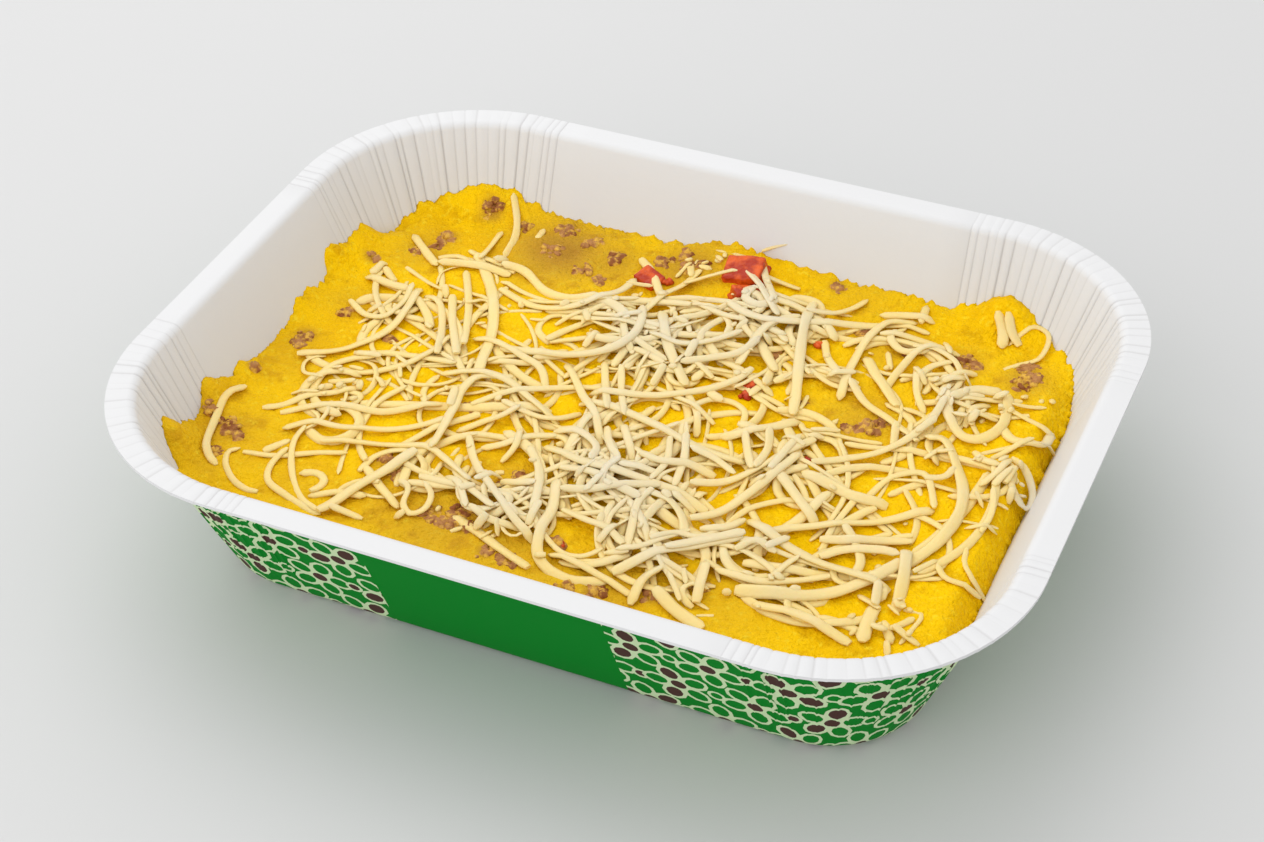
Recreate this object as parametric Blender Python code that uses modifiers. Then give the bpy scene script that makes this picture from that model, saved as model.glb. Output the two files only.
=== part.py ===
"""Ready meal in a pressed board tray: yellow mash with minced meat, bits of tomato and grated cheese.

Sizes are millimetres times MM, because Blender works in metres. The origin is the middle of the tray's
underside, +X runs along the tray's length and +Z is up. The long side that shows is the one at -Y.
"""

import math
import random

import bmesh
import bpy
from mathutils import Euler, Vector, noise
from mathutils.bvhtree import BVHTree

MM = 0.001

# The tray's outside sizes, measured at the rim's edge, and its board.
TRAY_LENGTH = 190 * MM
TRAY_WIDTH = 147 * MM
TRAY_HEIGHT = 39.5 * MM
RIM_CORNER_RADIUS = 40 * MM
BOARD = 0.7 * MM

# The section of the board: a flat flange, a leaning wall and a flat base, with rounded turns.
FLANGE_WIDTH = 5.6 * MM
BASE_INSET = 21.4 * MM
SHOULDER_RADIUS = 2.2 * MM
BASE_FILLET = 5 * MM
FILLET_STEPS = 2

# The pleats that take up the spare board in each corner.
PLEATS_PER_CORNER = 9
PLEAT_DEPTH = 0.45 * MM

# The mash: its level, its lumps and the bare gap that it keeps to the tray.
GAP = 0.35 * MM
MASH_LEVEL = 22.5 * MM
MASH_SWELL = 0.7 * MM
MASH_SWELL_SPAN = 38 * MM
MASH_LUMP = 1.1 * MM
MASH_LUMP_SPAN = 13 * MM
CLIMB_REACH = 7 * MM
MASH_RINGS = (0.22, 0.45, 0.64, 0.76, 0.85, 0.92, 0.965, 1.0)

# Where the mash climbs the wall, or sinks away from it: x, y, height and spread in millimetres.
CRAGS = (
    (-82, -46, 7.5, 4.0),
    (-84, -28, 5.0, 3.0),
    (-82, -17, 2.0, 3.0),
    (-82, 9, 2.0, 3.5),
    (-84, 24, 5.0, 3.0),
    (-82, 34, 3.5, 5.0),
    (-79, 44, -2.5, 4.0),
    (-64, 59, 3.5, 9.0),
    (0, 61, 2.5, 8.0),
    (34, 61, 1.5, 5.0),
    (61, 61, 5.5, 6.0),
    (76, 50, 2.0, 5.0),
    (82, 28, -6.0, 14.0),
    (82, -4, -6.0, 16.0),
    (82, -30, -3.0, 12.0),
)

# Clusters of minced meat that show on the mash: x, y and radius in millimetres.
MEAT = (
    (-77, 28, 2.6),
    (-76, -2, 3.2),
    (-74, 11, 2.2),
    (-66, 44, 3.0),
    (-60, 54, 3.2),
    (-48, 54, 2.8),
    (-41, 53, 3.4),
    (-34, 54, 2.6),
    (-30, 47, 3.2),
    (-35, 44, 3.0),
    (-43, 46, 2.6),
    (-26, 52, 2.4),
    (-15, 53, 2.6),
    (-83, -31, 2.4),
    (-75, -35, 3.6),
    (-69, -39, 2.4),
    (71, 44, 3.4),
    (76, 39, 2.4),
    (-22, -51, 3.2),
    (-11, -51, 2.6),
    (13, -51, 2.8),
    (32, -51, 3.0),
)
MEAT_SINK = 0.45

# The cheese heap seen from above, in millimetres, and the low mound under its shreds.
HEAP_CENTRE = (2, 0)
HEAP_OUTLINE = (
    (80, 9),
    (80, 22),
    (79, 36),
    (65, 38),
    (51, 43),
    (46, 52),
    (33, 50),
    (16, 51),
    (0, 45),
    (-14, 39),
    (-22, 32),
    (-45, 38),
    (-56, 42),
    (-71, 32),
    (-76, 9),
    (-73, -9),
    (-64, -31),
    (-55, -44),
    (-43, -49),
    (-23, -41),
    (-4, -45),
    (17, -46),
    (34, -47),
    (44, -43),
    (68, -45),
    (67, -31),
    (75, -18),
    (79, -4),
)
MOUND_SHARE = 0.84
MOUND_EDGE = 1.2 * MM
MOUND_MIDDLE = 2.4 * MM
MOUND_STEPS = 40

# The shreds that show most: where each starts, its heading, its length, how far it turns and its width.
# Millimetres and degrees, longest first.
SHREDS = (
    (55, 17, -20, 47, -110, 2.8),
    (-56, 39, -45, 47, -35, 2.8),
    (-13, 34, -65, 41, -135, 2.4),
    (-12, 0, -10, 40, 5, 2.4),
    (-13, -16, -15, 39, 10, 2.4),
    (20, 49, -80, 38, 10, 2.6),
    (-6, -26, -105, 38, 120, 2.6),
    (-74, -8, 20, 38, 95, 2.4),
    (-55, -32, 35, 38, -75, 2.0),
    (17, 22, -110, 37, -70, 2.2),
    (-19, 43, -90, 36, -125, 2.2),
    (3, 41, -20, 36, 65, 2.2),
    (39, -1, 25, 36, 60, 2.0),
    (-65, -31, 15, 35, 20, 2.0),
    (65, -21, -110, 35, -65, 3.0),
    (65, -4, -140, 35, -5, 2.4),
    (43, 53, -140, 35, 75, 2.4),
    (55, 30, -95, 34, 240, 2.6),
    (-28, -20, -55, 34, 30, 2.0),
    (33, -21, -30, 34, 35, 2.6),
    (-68, -27, 20, 33, 10, 2.0),
    (-27, 3, -145, 32, 90, 2.4),
    (-43, -3, 20, 31, -60, 2.2),
    (23, -26, 50, 30, 35, 2.4),
    (19, -17, 30, 29, 40, 2.2),
    (-56, 33, -60, 29, -10, 2.0),
    (-21, 11, -45, 28, -15, 2.0),
    (-60, -29, -90, 28, 70, 1.8),
    (-49, 38, -25, 27, 35, 2.4),
    (-78, -22, -110, 26, 75, 2.0),
    (35, -27, -145, 26, 15, 2.6),
    (-61, -36, -100, 26, 110, 1.8),
    (66, 46, -5, 25, 255, 1.6),
    (-35, -28, -115, 25, 5, 2.8),
    (52, -5, 105, 25, -200, 1.8),
    (-74, 12, -55, 24, 190, 1.8),
    (55, 46, -170, 24, 100, 2.0),
    (74, 15, 20, 22, -270, 1.8),
    (-34, -38, -105, 21, 255, 1.6),
)
SHRED_THICKNESS = 1.7 * MM
SHRED_SINK = 0.7 * MM
SHRED_SLOPE = 0.4
SHRED_STEP = 8.5 * MM
SHRED_TURN_STEP = 40
SHRED_END = 0.7

# Booleans leave faces thinner than this.
SLIVER = 0.01 * MM

# More shreds spread evenly between them.
FILL_ROWS = 5
FILL_COLUMNS = 9
FILL_LENGTHS = (15 * MM, 34 * MM)
FILL_WIDTHS = (1.9 * MM, 2.5 * MM)
FILL_TURN = 60
SEED = 7

# Bits of tomato: middle, sides and turn, in millimetres and degrees.
TOMATOES = {
    "tomato_large": ((2.5, 54.5), (8.5, 6.0, 5.5), (14, -8, 6)),
    "tomato_small": ((5.5, 46.8), (6.0, 4.5, 4.0), (-10, 12, 35)),
    "tomato_bit": ((-16.5, 45.0), (5.5, 4.0, 3.6), (8, 10, -20)),
}
TOMATO_SHOWING = 0.45
TOMATO_ROUNDING = 0.7 * MM


def clear_scene():
    """Removes whatever the scene holds."""
    for obj in list(bpy.data.objects):
        bpy.data.objects.remove(obj, do_unlink=True)


def new_collection(name):
    """A new collection in the scene."""
    made = bpy.data.collections.new(name)
    bpy.context.scene.collection.children.link(made)
    return made


def material(name, colour, roughness):
    """A plain finish: linear RGB colour and roughness."""
    made = bpy.data.materials.new(name)
    made.use_nodes = True
    shader = made.node_tree.nodes["Principled BSDF"]
    shader.inputs["Base Color"].default_value = (*colour, 1.0)
    shader.inputs["Roughness"].default_value = roughness
    shader.inputs["Metallic"].default_value = 0.0
    return made


def mesh_object(name, points, faces, collection, finish=None):
    """An object made from points and faces, with its faces turned outwards."""
    mesh = bpy.data.meshes.new(name)
    mesh.from_pydata([tuple(p) for p in points], [], faces)
    mesh.validate()
    obj = bpy.data.objects.new(name, mesh)
    collection.objects.link(obj)
    if finish:
        mesh.materials.append(finish)
    return obj


def loft(name, rings, ends, collection, finish=None):
    """Rings of equal count joined in order. ends are the points that close the outer rings, or None."""
    count = len(rings[0])
    points = [p for ring in rings for p in ring]
    faces = []
    for k in range(len(rings) - 1):
        for i in range(count):
            j = (i + 1) % count
            faces.append((k * count + i, k * count + j, (k + 1) * count + j, (k + 1) * count + i))
    for end, start, flip in zip(ends, (0, (len(rings) - 1) * count), (True, False)):
        if end is None:
            continue
        points.append(end)
        for i in range(count):
            a, b = start + i, start + (i + 1) % count
            faces.append((b, a, len(points) - 1) if flip else (a, b, len(points) - 1))
    return mesh_object(name, points, faces, collection, finish)


def filleted(corners, radii, steps):
    """A 2D line through corners, with each inner corner rounded to its radius."""
    line = [Vector(corners[0])]
    for before, corner, after, radius in zip(corners, corners[1:], corners[2:], radii):
        corner = Vector(corner)
        back = (Vector(before) - corner).normalized()
        ahead = (Vector(after) - corner).normalized()
        half = back.angle(ahead) / 2
        centre = corner + (back + ahead).normalized() * radius / math.sin(half)
        first = corner + back * radius / math.tan(half) - centre
        turn = first.angle_signed(corner + ahead * radius / math.tan(half) - centre)
        for k in range(steps + 1):
            angle = -turn * k / steps
            cos, sin = math.cos(angle), math.sin(angle)
            line.append(centre + Vector((first.x * cos - first.y * sin, first.x * sin + first.y * cos)))
    return line + [Vector(corners[-1])]


def line_normals(line):
    """The left-hand normal of a 2D line at each of its points."""
    normals = []
    for k in range(len(line)):
        along = line[min(k + 1, len(line) - 1)] - line[max(k - 1, 0)]
        normals.append(Vector((-along.y, along.x)).normalized())
    return normals


def board_section():
    """The board's food side as inset from the rim's edge and height, from the base outwards."""
    corners = (
        (2 * BASE_INSET, BOARD),
        (BASE_INSET, BOARD),
        (FLANGE_WIDTH, TRAY_HEIGHT),
        (0, TRAY_HEIGHT),
    )
    return filleted(corners, (BASE_FILLET, SHOULDER_RADIUS), FILLET_STEPS)[1:]


def stations(corner_steps, long_steps, short_steps):
    """Points round the rim's edge with their outward directions, and the step of the corner at each."""
    x = TRAY_LENGTH / 2 - RIM_CORNER_RADIUS
    y = TRAY_WIDTH / 2 - RIM_CORNER_RADIUS
    centres = ((x, y), (-x, y), (-x, -y), (x, -y))
    made = []
    for quarter, (centre, steps) in enumerate(zip(centres, (long_steps, short_steps) * 2)):
        for k in range(corner_steps + 1):
            angle = math.pi / 2 * (quarter + k / corner_steps)
            out = Vector((math.cos(angle), math.sin(angle)))
            made.append((Vector(centre) + out * RIM_CORNER_RADIUS, out, k))
        ahead = Vector(centres[(quarter + 1) % 4]) + out * RIM_CORNER_RADIUS
        start = made[-1][0]
        made += [(start.lerp(ahead, k / steps), out, 0) for k in range(1, steps)]
    return made


def ring(places, section_point):
    """The ring round the tray at one (inset, height) of the section."""
    return [Vector((*(point - out * section_point.x), section_point.y)) for point, out, _ in places]


def rim_distance(x, y):
    """How far a point lies inside the rim's edge, seen from above."""
    dx = abs(x) - (TRAY_LENGTH / 2 - RIM_CORNER_RADIUS)
    dy = abs(y) - (TRAY_WIDTH / 2 - RIM_CORNER_RADIUS)
    return RIM_CORNER_RADIUS - math.hypot(max(dx, 0), max(dy, 0)) - min(max(dx, dy), 0)


def wall_inset(height):
    """The inset of the wall's food side at a height between its two fillets."""
    foot, top = board_section()[FILLET_STEPS], board_section()[FILLET_STEPS + 1]
    share = (height - foot.y) / (top.y - foot.y)
    return foot.x + (top.x - foot.x) * share


def clear_of_wall(x, y, radius):
    """The point, moved towards the middle until a lump of that radius clears the wall."""
    place = Vector((x, y))
    while rim_distance(*place) < wall_inset(mash_height(*place) - radius) + 1.25 * radius + GAP:
        place *= 0.995
    return place.x, place.y


def smooth_step(value):
    """0 below 0, 1 above 1, and smooth between them."""
    value = min(max(value, 0.0), 1.0)
    return value * value * (3 - 2 * value)


def heap_distance(x, y):
    """1 on the outline of the cheese heap, and less inside it."""
    reach = Vector((x, y)) - Vector(HEAP_CENTRE) * MM
    if reach.length < MM:
        return 0.0
    for start, end in zip(HEAP_OUTLINE, HEAP_OUTLINE[1:] + HEAP_OUTLINE[:1]):
        start, end = ((Vector(p) - Vector(HEAP_CENTRE)) * MM for p in (start, end))
        before = start.x * reach.y - start.y * reach.x
        after = end.x * reach.y - end.y * reach.x
        if before >= 0 > after and start.lerp(end, before / (before - after)).dot(reach) > 0:
            return reach.length / start.lerp(end, before / (before - after)).length
    return 2.0


def mash_height(x, y):
    """The mash's surface: slow swells, lumps outside the heap, and crags where it meets the wall."""
    height = MASH_LEVEL + MASH_SWELL * noise.noise(Vector((x, y, 0)) / MASH_SWELL_SPAN)
    bare = smooth_step((heap_distance(x, y) - 1) / 0.25)
    height += bare * MASH_LUMP * noise.noise(Vector((x, y, 20 * MM)) / MASH_LUMP_SPAN)
    to_wall = rim_distance(x, y) - wall_inset(MASH_LEVEL)
    climb = 1 - smooth_step(to_wall / CLIMB_REACH)
    for crag_x, crag_y, crag_height, spread in CRAGS:
        away = math.hypot(x - crag_x * MM, y - crag_y * MM) / (spread * MM)
        height += climb * crag_height * MM * math.exp(-away * away / 2)
    return height


def make_tray(collection, board, print_green):
    """The pressed board tray: the food side as an open sheet, thickened outwards."""
    places = stations(2 * PLEATS_PER_CORNER, 4, 3)
    section = board_section()
    normals = line_normals(section)
    rings = []
    for k, (place, normal) in enumerate(zip(section, normals)):
        loops = ring(places, place)
        fade = smooth_step(place.y / TRAY_HEIGHT) if k > FILLET_STEPS else 0.0
        for point, (_, out, step) in zip(loops, places):
            if step % 2:
                point += Vector((*(-out * normal.x), normal.y)) * PLEAT_DEPTH * fade
        rings.append(loops)
    tray = loft("tray", rings, (Vector((0, 0, BOARD)), None), collection, board)
    tray.data.flip_normals()
    tray.data.materials.append(print_green)
    thick = tray.modifiers.new("board", "SOLIDIFY")
    thick.thickness = BOARD
    thick.offset = -1
    thick.use_even_offset = True
    thick.material_offset = 1
    apply_modifiers(tray)
    for vert in tray.data.vertices:
        if abs(vert.co.z) < 2 * SLIVER:
            vert.co.z = 0.0
    return tray


def make_mash(collection, finish):
    """The mash: its uneven top, drawn in towards the middle, and sides that follow the tray."""
    places = stations(9, 13, 9)
    edge = []
    for point, out, _ in places:
        height = MASH_LEVEL
        for _ in range(4):
            flat = point - out * (wall_inset(height) + GAP)
            height = mash_height(*flat)
        edge.append(Vector((*flat, height)))
    rings = []
    for share in MASH_RINGS[:-1]:
        inner = [(p.x * share, p.y * share) for p in edge]
        rings.append([Vector((x, y, mash_height(x, y))) for x, y in inner])
    rings.append(edge)
    section = board_section()
    normals = line_normals(section)
    for k in range(FILLET_STEPS, -1, -1):
        rings.append(ring(places, section[k] - normals[k] * GAP))
    ends = Vector((0, 0, mash_height(0, 0))), Vector((0, 0, BOARD + GAP))
    return loft("mash", rings, ends, collection, finish)


def make_lump(name, centre, radius, collection, draw):
    """A crumb: a small icosahedron, flattened and pulled out of true."""
    form = bmesh.new()
    bmesh.ops.create_icosphere(form, subdivisions=1, radius=radius)
    for vert in form.verts:
        vert.co = Vector(centre) + vert.co * draw.uniform(0.8, 1.2) * Vector((1, 1, 0.75))
    mesh = bpy.data.meshes.new(name)
    form.to_mesh(mesh)
    form.free()
    obj = bpy.data.objects.new(name, mesh)
    collection.objects.link(obj)
    return obj


def make_tomato(name, place, sides, turn, grow, collection, finish=None):
    """A diced bit of tomato with rounded edges. grow adds to every side, for the pocket that it lies in."""
    bpy.ops.mesh.primitive_cube_add(size=1)
    obj = bpy.context.active_object
    obj.name = name
    for owner in list(obj.users_collection):
        owner.objects.unlink(obj)
    collection.objects.link(obj)
    x, y = (v * MM for v in place)
    for vert in obj.data.vertices:
        vert.co = Vector(side * MM + 2 * grow for side in sides) * vert.co
        vert.co.x *= 1.0 - 0.12 * (vert.co.z > 0)
    obj.rotation_euler = Euler([math.radians(angle) for angle in turn])
    obj.location = (x, y, mash_height(x, y) + (TOMATO_SHOWING - 0.5) * sides[2] * MM)
    edges = obj.modifiers.new("edges", "BEVEL")
    edges.width = TOMATO_ROUNDING
    edges.segments = 1
    if finish:
        obj.data.materials.append(finish)
    return obj


def apply_modifiers(obj):
    """Makes what an object's modifiers give its own mesh."""
    graph = bpy.context.evaluated_depsgraph_get()
    made = bpy.data.meshes.new_from_object(obj.evaluated_get(graph))
    obj.modifiers.clear()
    obj.data = made


def join(obj, collection, operation, solver="EXACT"):
    """Applies one Boolean of a collection to obj, removes that collection's objects, and keeps one shell."""
    boolean = obj.modifiers.new(operation.lower(), "BOOLEAN")
    boolean.operation = operation
    boolean.operand_type = "COLLECTION"
    boolean.collection = collection
    boolean.solver = solver
    apply_modifiers(obj)
    for member in list(collection.objects):
        bpy.data.objects.remove(member, do_unlink=True)
    keep_largest_shell(obj)


def keep_largest_shell(obj):
    """Closes slivers, and drops loose scraps and sealed hollows, which are shells apart from the main one."""
    form = bmesh.new()
    form.from_mesh(obj.data)
    bmesh.ops.triangulate(form, faces=form.faces)
    bmesh.ops.dissolve_degenerate(form, edges=form.edges, dist=SLIVER)
    unseen = set(form.faces)
    shells = []
    while unseen:
        shell = set()
        edge = [unseen.pop()]
        while edge:
            face = edge.pop()
            shell.add(face)
            linked = {other for e in face.edges for other in e.link_faces} & unseen
            unseen -= linked
            edge += linked
        shells.append(shell)
    largest = max(shells, key=len)
    spare = [face for face in form.faces if face not in largest]
    bmesh.ops.delete(form, geom=spare, context="FACES")
    form.to_mesh(obj.data)
    form.free()


def make_mound(collection, finish):
    """The low mound under the shreds, a bare gap above the mash."""
    middle = Vector(HEAP_CENTRE) * MM
    edge = []
    for k in range(MOUND_STEPS):
        angle = 2 * math.pi * (k + 0.5) / MOUND_STEPS
        out = Vector((math.cos(angle), math.sin(angle))) * 10 * MM
        edge.append(out / heap_distance(*(middle + out)) * MOUND_SHARE)
    rings = []
    for share, rise in ((0.35, 0), (0.7, 0), (1.0, 0), (0.97, 0.6), (0.8, 0.85), (0.45, 1)):
        loops = []
        for reach in edge:
            x, y = middle + reach * share
            top = MOUND_EDGE + (MOUND_MIDDLE - MOUND_EDGE) * (1 - share)
            loops.append(Vector((x, y, mash_height(x, y) + 1.5 * GAP + top * rise)))
        rings.append(loops)
    low = mash_height(*middle) + 1.5 * GAP
    ends = Vector((*middle, low)), Vector((*middle, low + MOUND_MIDDLE))
    mound = loft("cheese", rings, ends, collection, finish)
    turn_outwards(mound)
    return mound


class Pile:
    """What shreds can come to rest on: heights on a grid, of the other food and of the cheese."""

    STEP = 1 * MM

    def __init__(self, others, mound):
        self.columns = int(TRAY_LENGTH / self.STEP)
        self.rows = int(TRAY_WIDTH / self.STEP)
        self.food = {}
        for other in others:
            for place, height in self.heights(other).items():
                self.food[place] = max(self.food.get(place, -1.0), height)
        self.cheese = self.heights(mound)

    def heights(self, obj):
        """The height of an object's top at each place of the grid, by column and row."""
        tree = BVHTree.FromObject(obj, bpy.context.evaluated_depsgraph_get())
        to_world = obj.matrix_world
        to_local = to_world.inverted()
        down = to_local.to_3x3() @ Vector((0, 0, -1))
        found = {}
        for column in range(self.columns):
            for row in range(self.rows):
                x = column * self.STEP - TRAY_LENGTH / 2
                y = row * self.STEP - TRAY_WIDTH / 2
                hit = tree.ray_cast(to_local @ Vector((x, y, 2 * TRAY_HEIGHT)), down)[0]
                found[column, row] = (to_world @ hit).z if hit else -1.0
        return found

    def near(self, x, y, reach):
        """The grid's places within reach of a point."""
        across = (x + TRAY_LENGTH / 2) / self.STEP
        along = (y + TRAY_WIDTH / 2) / self.STEP
        reach = max(reach / self.STEP, 0.75)
        for i in range(math.ceil(across - reach), math.floor(across + reach) + 1):
            for j in range(math.ceil(along - reach), math.floor(along + reach) + 1):
                if math.hypot(i - across, j - along) <= reach and (i, j) in self.food:
                    yield i, j

    def rest(self, x, y, width):
        """The lowest height for the middle of a shred at a point."""
        on_food = max(self.food[p] for p in self.near(x, y, width / 2 + self.STEP)) + GAP
        on_cheese = max(self.cheese[p] for p in self.near(x, y, width / 2 - SHRED_SINK)) - SHRED_SINK
        return max(on_food, on_cheese) + SHRED_THICKNESS / 2

    def settle(self, line, width):
        """The path of a shred laid on the pile along a flat line: it rests, or bridges what is uneven."""
        heights = [self.rest(*place, width) for place in line]
        for k, (start, end) in enumerate(zip(line, line[1:])):
            middle = max(self.rest(*start.lerp(end, share), width) for share in (0.3, 0.5, 0.7))
            lift = max(0.0, middle - (heights[k] + heights[k + 1]) / 2)
            heights[k] += lift
            heights[k + 1] += lift
        for order in (range(1, len(heights)), range(len(heights) - 2, -1, -1)):
            for k in order:
                neighbour = k - order.step
                drop = SHRED_SLOPE * (line[k] - line[neighbour]).length
                heights[k] = max(heights[k], heights[neighbour] - drop)
        return [Vector((*place, height)) for place, height in zip(line, heights)]

    def add(self, path, width):
        """Records the top of a shred that has come to rest."""
        for start, end in zip(path, path[1:]):
            for k in range(12):
                x, y, z = start.lerp(end, k / 12)
                for place in self.near(x, y, width / 2):
                    self.cheese[place] = max(self.cheese[place], z + SHRED_THICKNESS / 2)


def arc_line(start, heading, length, turn):
    """Points along a flat arc: its start, and its first heading and whole turn in degrees."""
    steps = max(2, round(length / SHRED_STEP), math.ceil(abs(turn) / SHRED_TURN_STEP))
    line = [Vector(start)]
    for k in range(steps):
        angle = math.radians(heading + turn * (k + 0.5) / steps)
        line.append(line[-1] + Vector((math.cos(angle), math.sin(angle))) * length / steps)
    return line


def is_clear_of_wall(line, width):
    """Whether a flat line stays off the tray's wall."""
    least = wall_inset(MASH_LEVEL) + width / 2 + 4 * GAP
    return all(rim_distance(*place) > least for place in line)


def shown_shreds():
    """The shreds that show most, as (width, flat line), drawn in until they clear the wall."""
    for x, y, heading, length, turn, width in SHREDS:
        line = arc_line((x * MM, y * MM), heading, length * MM, turn)
        while not is_clear_of_wall(line, width * MM):
            line = [place * 0.99 for place in line]
        yield width * MM, line


def fill_shreds():
    """More shreds inside the heap, one for each cell of a grid over it."""
    draw = random.Random(SEED)
    reach_x = max(abs(x) for x, _ in HEAP_OUTLINE) * MM
    reach_y = max(abs(y) for _, y in HEAP_OUTLINE) * MM
    cells = [(i, j) for i in range(FILL_COLUMNS) for j in range(FILL_ROWS)]
    draw.shuffle(cells)
    for i, j in cells:
        for _ in range(20):
            x = (2 * (i + draw.random()) / FILL_COLUMNS - 1) * reach_x
            y = (2 * (j + draw.random()) / FILL_ROWS - 1) * reach_y
            heading, turn = draw.uniform(0, 360), draw.gauss(0, FILL_TURN)
            line = arc_line((x, y), heading, draw.uniform(*FILL_LENGTHS), turn)
            width = draw.uniform(*FILL_WIDTHS)
            if is_clear_of_wall(line, width) and all(heap_distance(*p) < 0.97 for p in line):
                yield width, line
                break


def make_shred(name, path, width, collection):
    """A strip of cheese: a curve with a flat four-sided section and narrower ends, made into a mesh."""
    section = bpy.data.curves.new("shred_section", "CURVE")
    outline = section.splines.new("POLY")
    outline.points.add(3)
    outline.use_cyclic_u = True
    for point, (x, y) in zip(outline.points, ((-1, -1), (1, -1), (1, 1), (-1, 1))):
        point.co = (x * width / 2, y * SHRED_THICKNESS / 2, 0, 1)
    section_obj = bpy.data.objects.new("shred_section", section)
    curve = bpy.data.curves.new(name, "CURVE")
    curve.dimensions = "3D"
    curve.twist_mode = "Z_UP"
    curve.bevel_mode = "OBJECT"
    curve.bevel_object = section_obj
    curve.use_fill_caps = True
    spline = curve.splines.new("POLY")
    spline.points.add(len(path) - 1)
    for k, (point, place) in enumerate(zip(spline.points, path)):
        point.co = (*place, 1)
        point.radius = SHRED_END if k in (0, len(path) - 1) else 1.0
    strand = bpy.data.objects.new(name, curve)
    collection.objects.link(strand)
    graph = bpy.context.evaluated_depsgraph_get()
    mesh = bpy.data.meshes.new_from_object(strand.evaluated_get(graph))
    bpy.data.objects.remove(strand)
    bpy.data.objects.remove(section_obj)
    form = bmesh.new()
    form.from_mesh(mesh)
    bmesh.ops.remove_doubles(form, verts=form.verts, dist=0.01 * MM)
    bmesh.ops.recalc_face_normals(form, faces=form.faces)
    form.to_mesh(mesh)
    form.free()
    shred = bpy.data.objects.new(name, mesh)
    collection.objects.link(shred)
    return shred


def turn_outwards(obj):
    """Turns a closed mesh's faces outwards."""
    form = bmesh.new()
    form.from_mesh(obj.data)
    bmesh.ops.recalc_face_normals(form, faces=form.faces)
    form.to_mesh(obj.data)
    form.free()


def is_stray(line):
    """Whether a shred lies on the bare mash, off the heap."""
    return min(heap_distance(*place) for place in line) > 1.0


def add_strays(collection):
    """The shreds that lie on the bare mash, half sunk, for fusing to it."""
    for index, (width, line) in enumerate(shown_shreds()):
        if is_stray(line):
            path = [Vector((*place, mash_height(*place) + 0.15 * SHRED_THICKNESS)) for place in line]
            make_shred(f"stray_{index}", path, width, collection)


def make_cheese(collection, others, finish):
    """The heap of grated cheese: the mound with shreds fused on, laid one on another."""
    mound = make_mound(collection, finish)
    pile = Pile(others, mound)
    shreds = new_collection("shreds")
    lines = list(fill_shreds()) + [shown for shown in shown_shreds() if not is_stray(shown[1])]
    for index, (width, line) in enumerate(lines):
        path = pile.settle(line, width)
        make_shred(f"shred_{index}", path, width, shreds)
        pile.add(path, width)
    join(mound, shreds, "UNION", "MANIFOLD")
    bpy.data.collections.remove(shreds)
    return mound


def main():
    """Builds the tray, the mash, the tomato and the cheese."""
    clear_scene()
    board = material("white_board", (0.86, 0.85, 0.83), 0.55)
    print_green = material("green_print", (0.0, 0.16, 0.05), 0.5)
    mash_yellow = material("yellow_mash", (0.83, 0.48, 0.01), 0.6)
    cheese_cream = material("cream_cheese", (0.86, 0.7, 0.36), 0.45)
    tomato_red = material("tomato_red", (0.55, 0.04, 0.01), 0.4)

    meal = new_collection("board_tray_meal")
    make_tray(meal, board, print_green)

    draw = random.Random(SEED)
    mash = make_mash(meal, mash_yellow)
    turn_outwards(mash)
    crumbs = new_collection("crumbs")
    for index, (x, y, radius) in enumerate(MEAT):
        radius *= MM
        x, y = clear_of_wall(x * MM, y * MM, radius)
        centre = (x, y, mash_height(x, y) - MEAT_SINK * radius)
        make_lump(f"meat_{index}", centre, radius, crumbs, draw)
    add_strays(crumbs)
    join(mash, crumbs, "UNION")
    pockets = new_collection("pockets")
    toppings = []
    for name, (place, sides, turn) in TOMATOES.items():
        toppings.append(make_tomato(name, place, sides, turn, 0.0, meal, tomato_red))
        make_tomato(f"pocket_{name}", place, sides, turn, GAP, pockets)
    join(mash, pockets, "DIFFERENCE")
    for helper in (crumbs, pockets):
        bpy.data.collections.remove(helper)

    make_cheese(meal, [mash, *toppings], cheese_cream)


main()
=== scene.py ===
"""The looks of a ready meal in a pressed board tray: mash with meat, bits of tomato and grated cheese.

Lengths are in millimetres until a mesh is made. X runs along the tray, Z is up, and the long side that
shows is the one at -Y. Distances round the tray, u, start at the middle of the back wall and run
anticlockwise. Distances down start at the rim's edge and follow the board's food side.
"""

import math
import random

import bmesh
import bpy
import numpy as np
from mathutils import Euler, Matrix, Vector, noise
from mathutils.geometry import delaunay_2d_cdt


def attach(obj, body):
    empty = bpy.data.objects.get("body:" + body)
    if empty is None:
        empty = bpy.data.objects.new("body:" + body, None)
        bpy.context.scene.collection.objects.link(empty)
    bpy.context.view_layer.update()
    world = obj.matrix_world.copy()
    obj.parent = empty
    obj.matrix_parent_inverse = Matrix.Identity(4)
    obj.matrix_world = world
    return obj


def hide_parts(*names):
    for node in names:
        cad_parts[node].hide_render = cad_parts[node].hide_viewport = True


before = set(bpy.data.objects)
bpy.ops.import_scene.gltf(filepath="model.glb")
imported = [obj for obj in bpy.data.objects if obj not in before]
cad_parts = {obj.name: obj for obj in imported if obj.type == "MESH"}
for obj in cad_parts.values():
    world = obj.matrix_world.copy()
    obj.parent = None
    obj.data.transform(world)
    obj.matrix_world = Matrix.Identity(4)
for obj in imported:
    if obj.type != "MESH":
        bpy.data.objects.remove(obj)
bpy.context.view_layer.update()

MM = 0.001
SEED = 11


def numbers(table):
    """The rows of a table, each of numbers joined by commas."""
    return [tuple(float(number) for number in row.split(",")) for row in table.split()]


# The photograph's camera: what it looks at, its direction in degrees, and its lens in pixels.
TARGET = np.array([8.74, -20.33, 39.5])
DISTANCE = 465.5
AZIMUTH, ELEVATION, ROLL = 24.9, 38.7, -1.45
FOCAL = 2420.0
PHOTO_SIZE = (1264, 842)
PIXELS_PER_MM = 4.6

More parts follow.
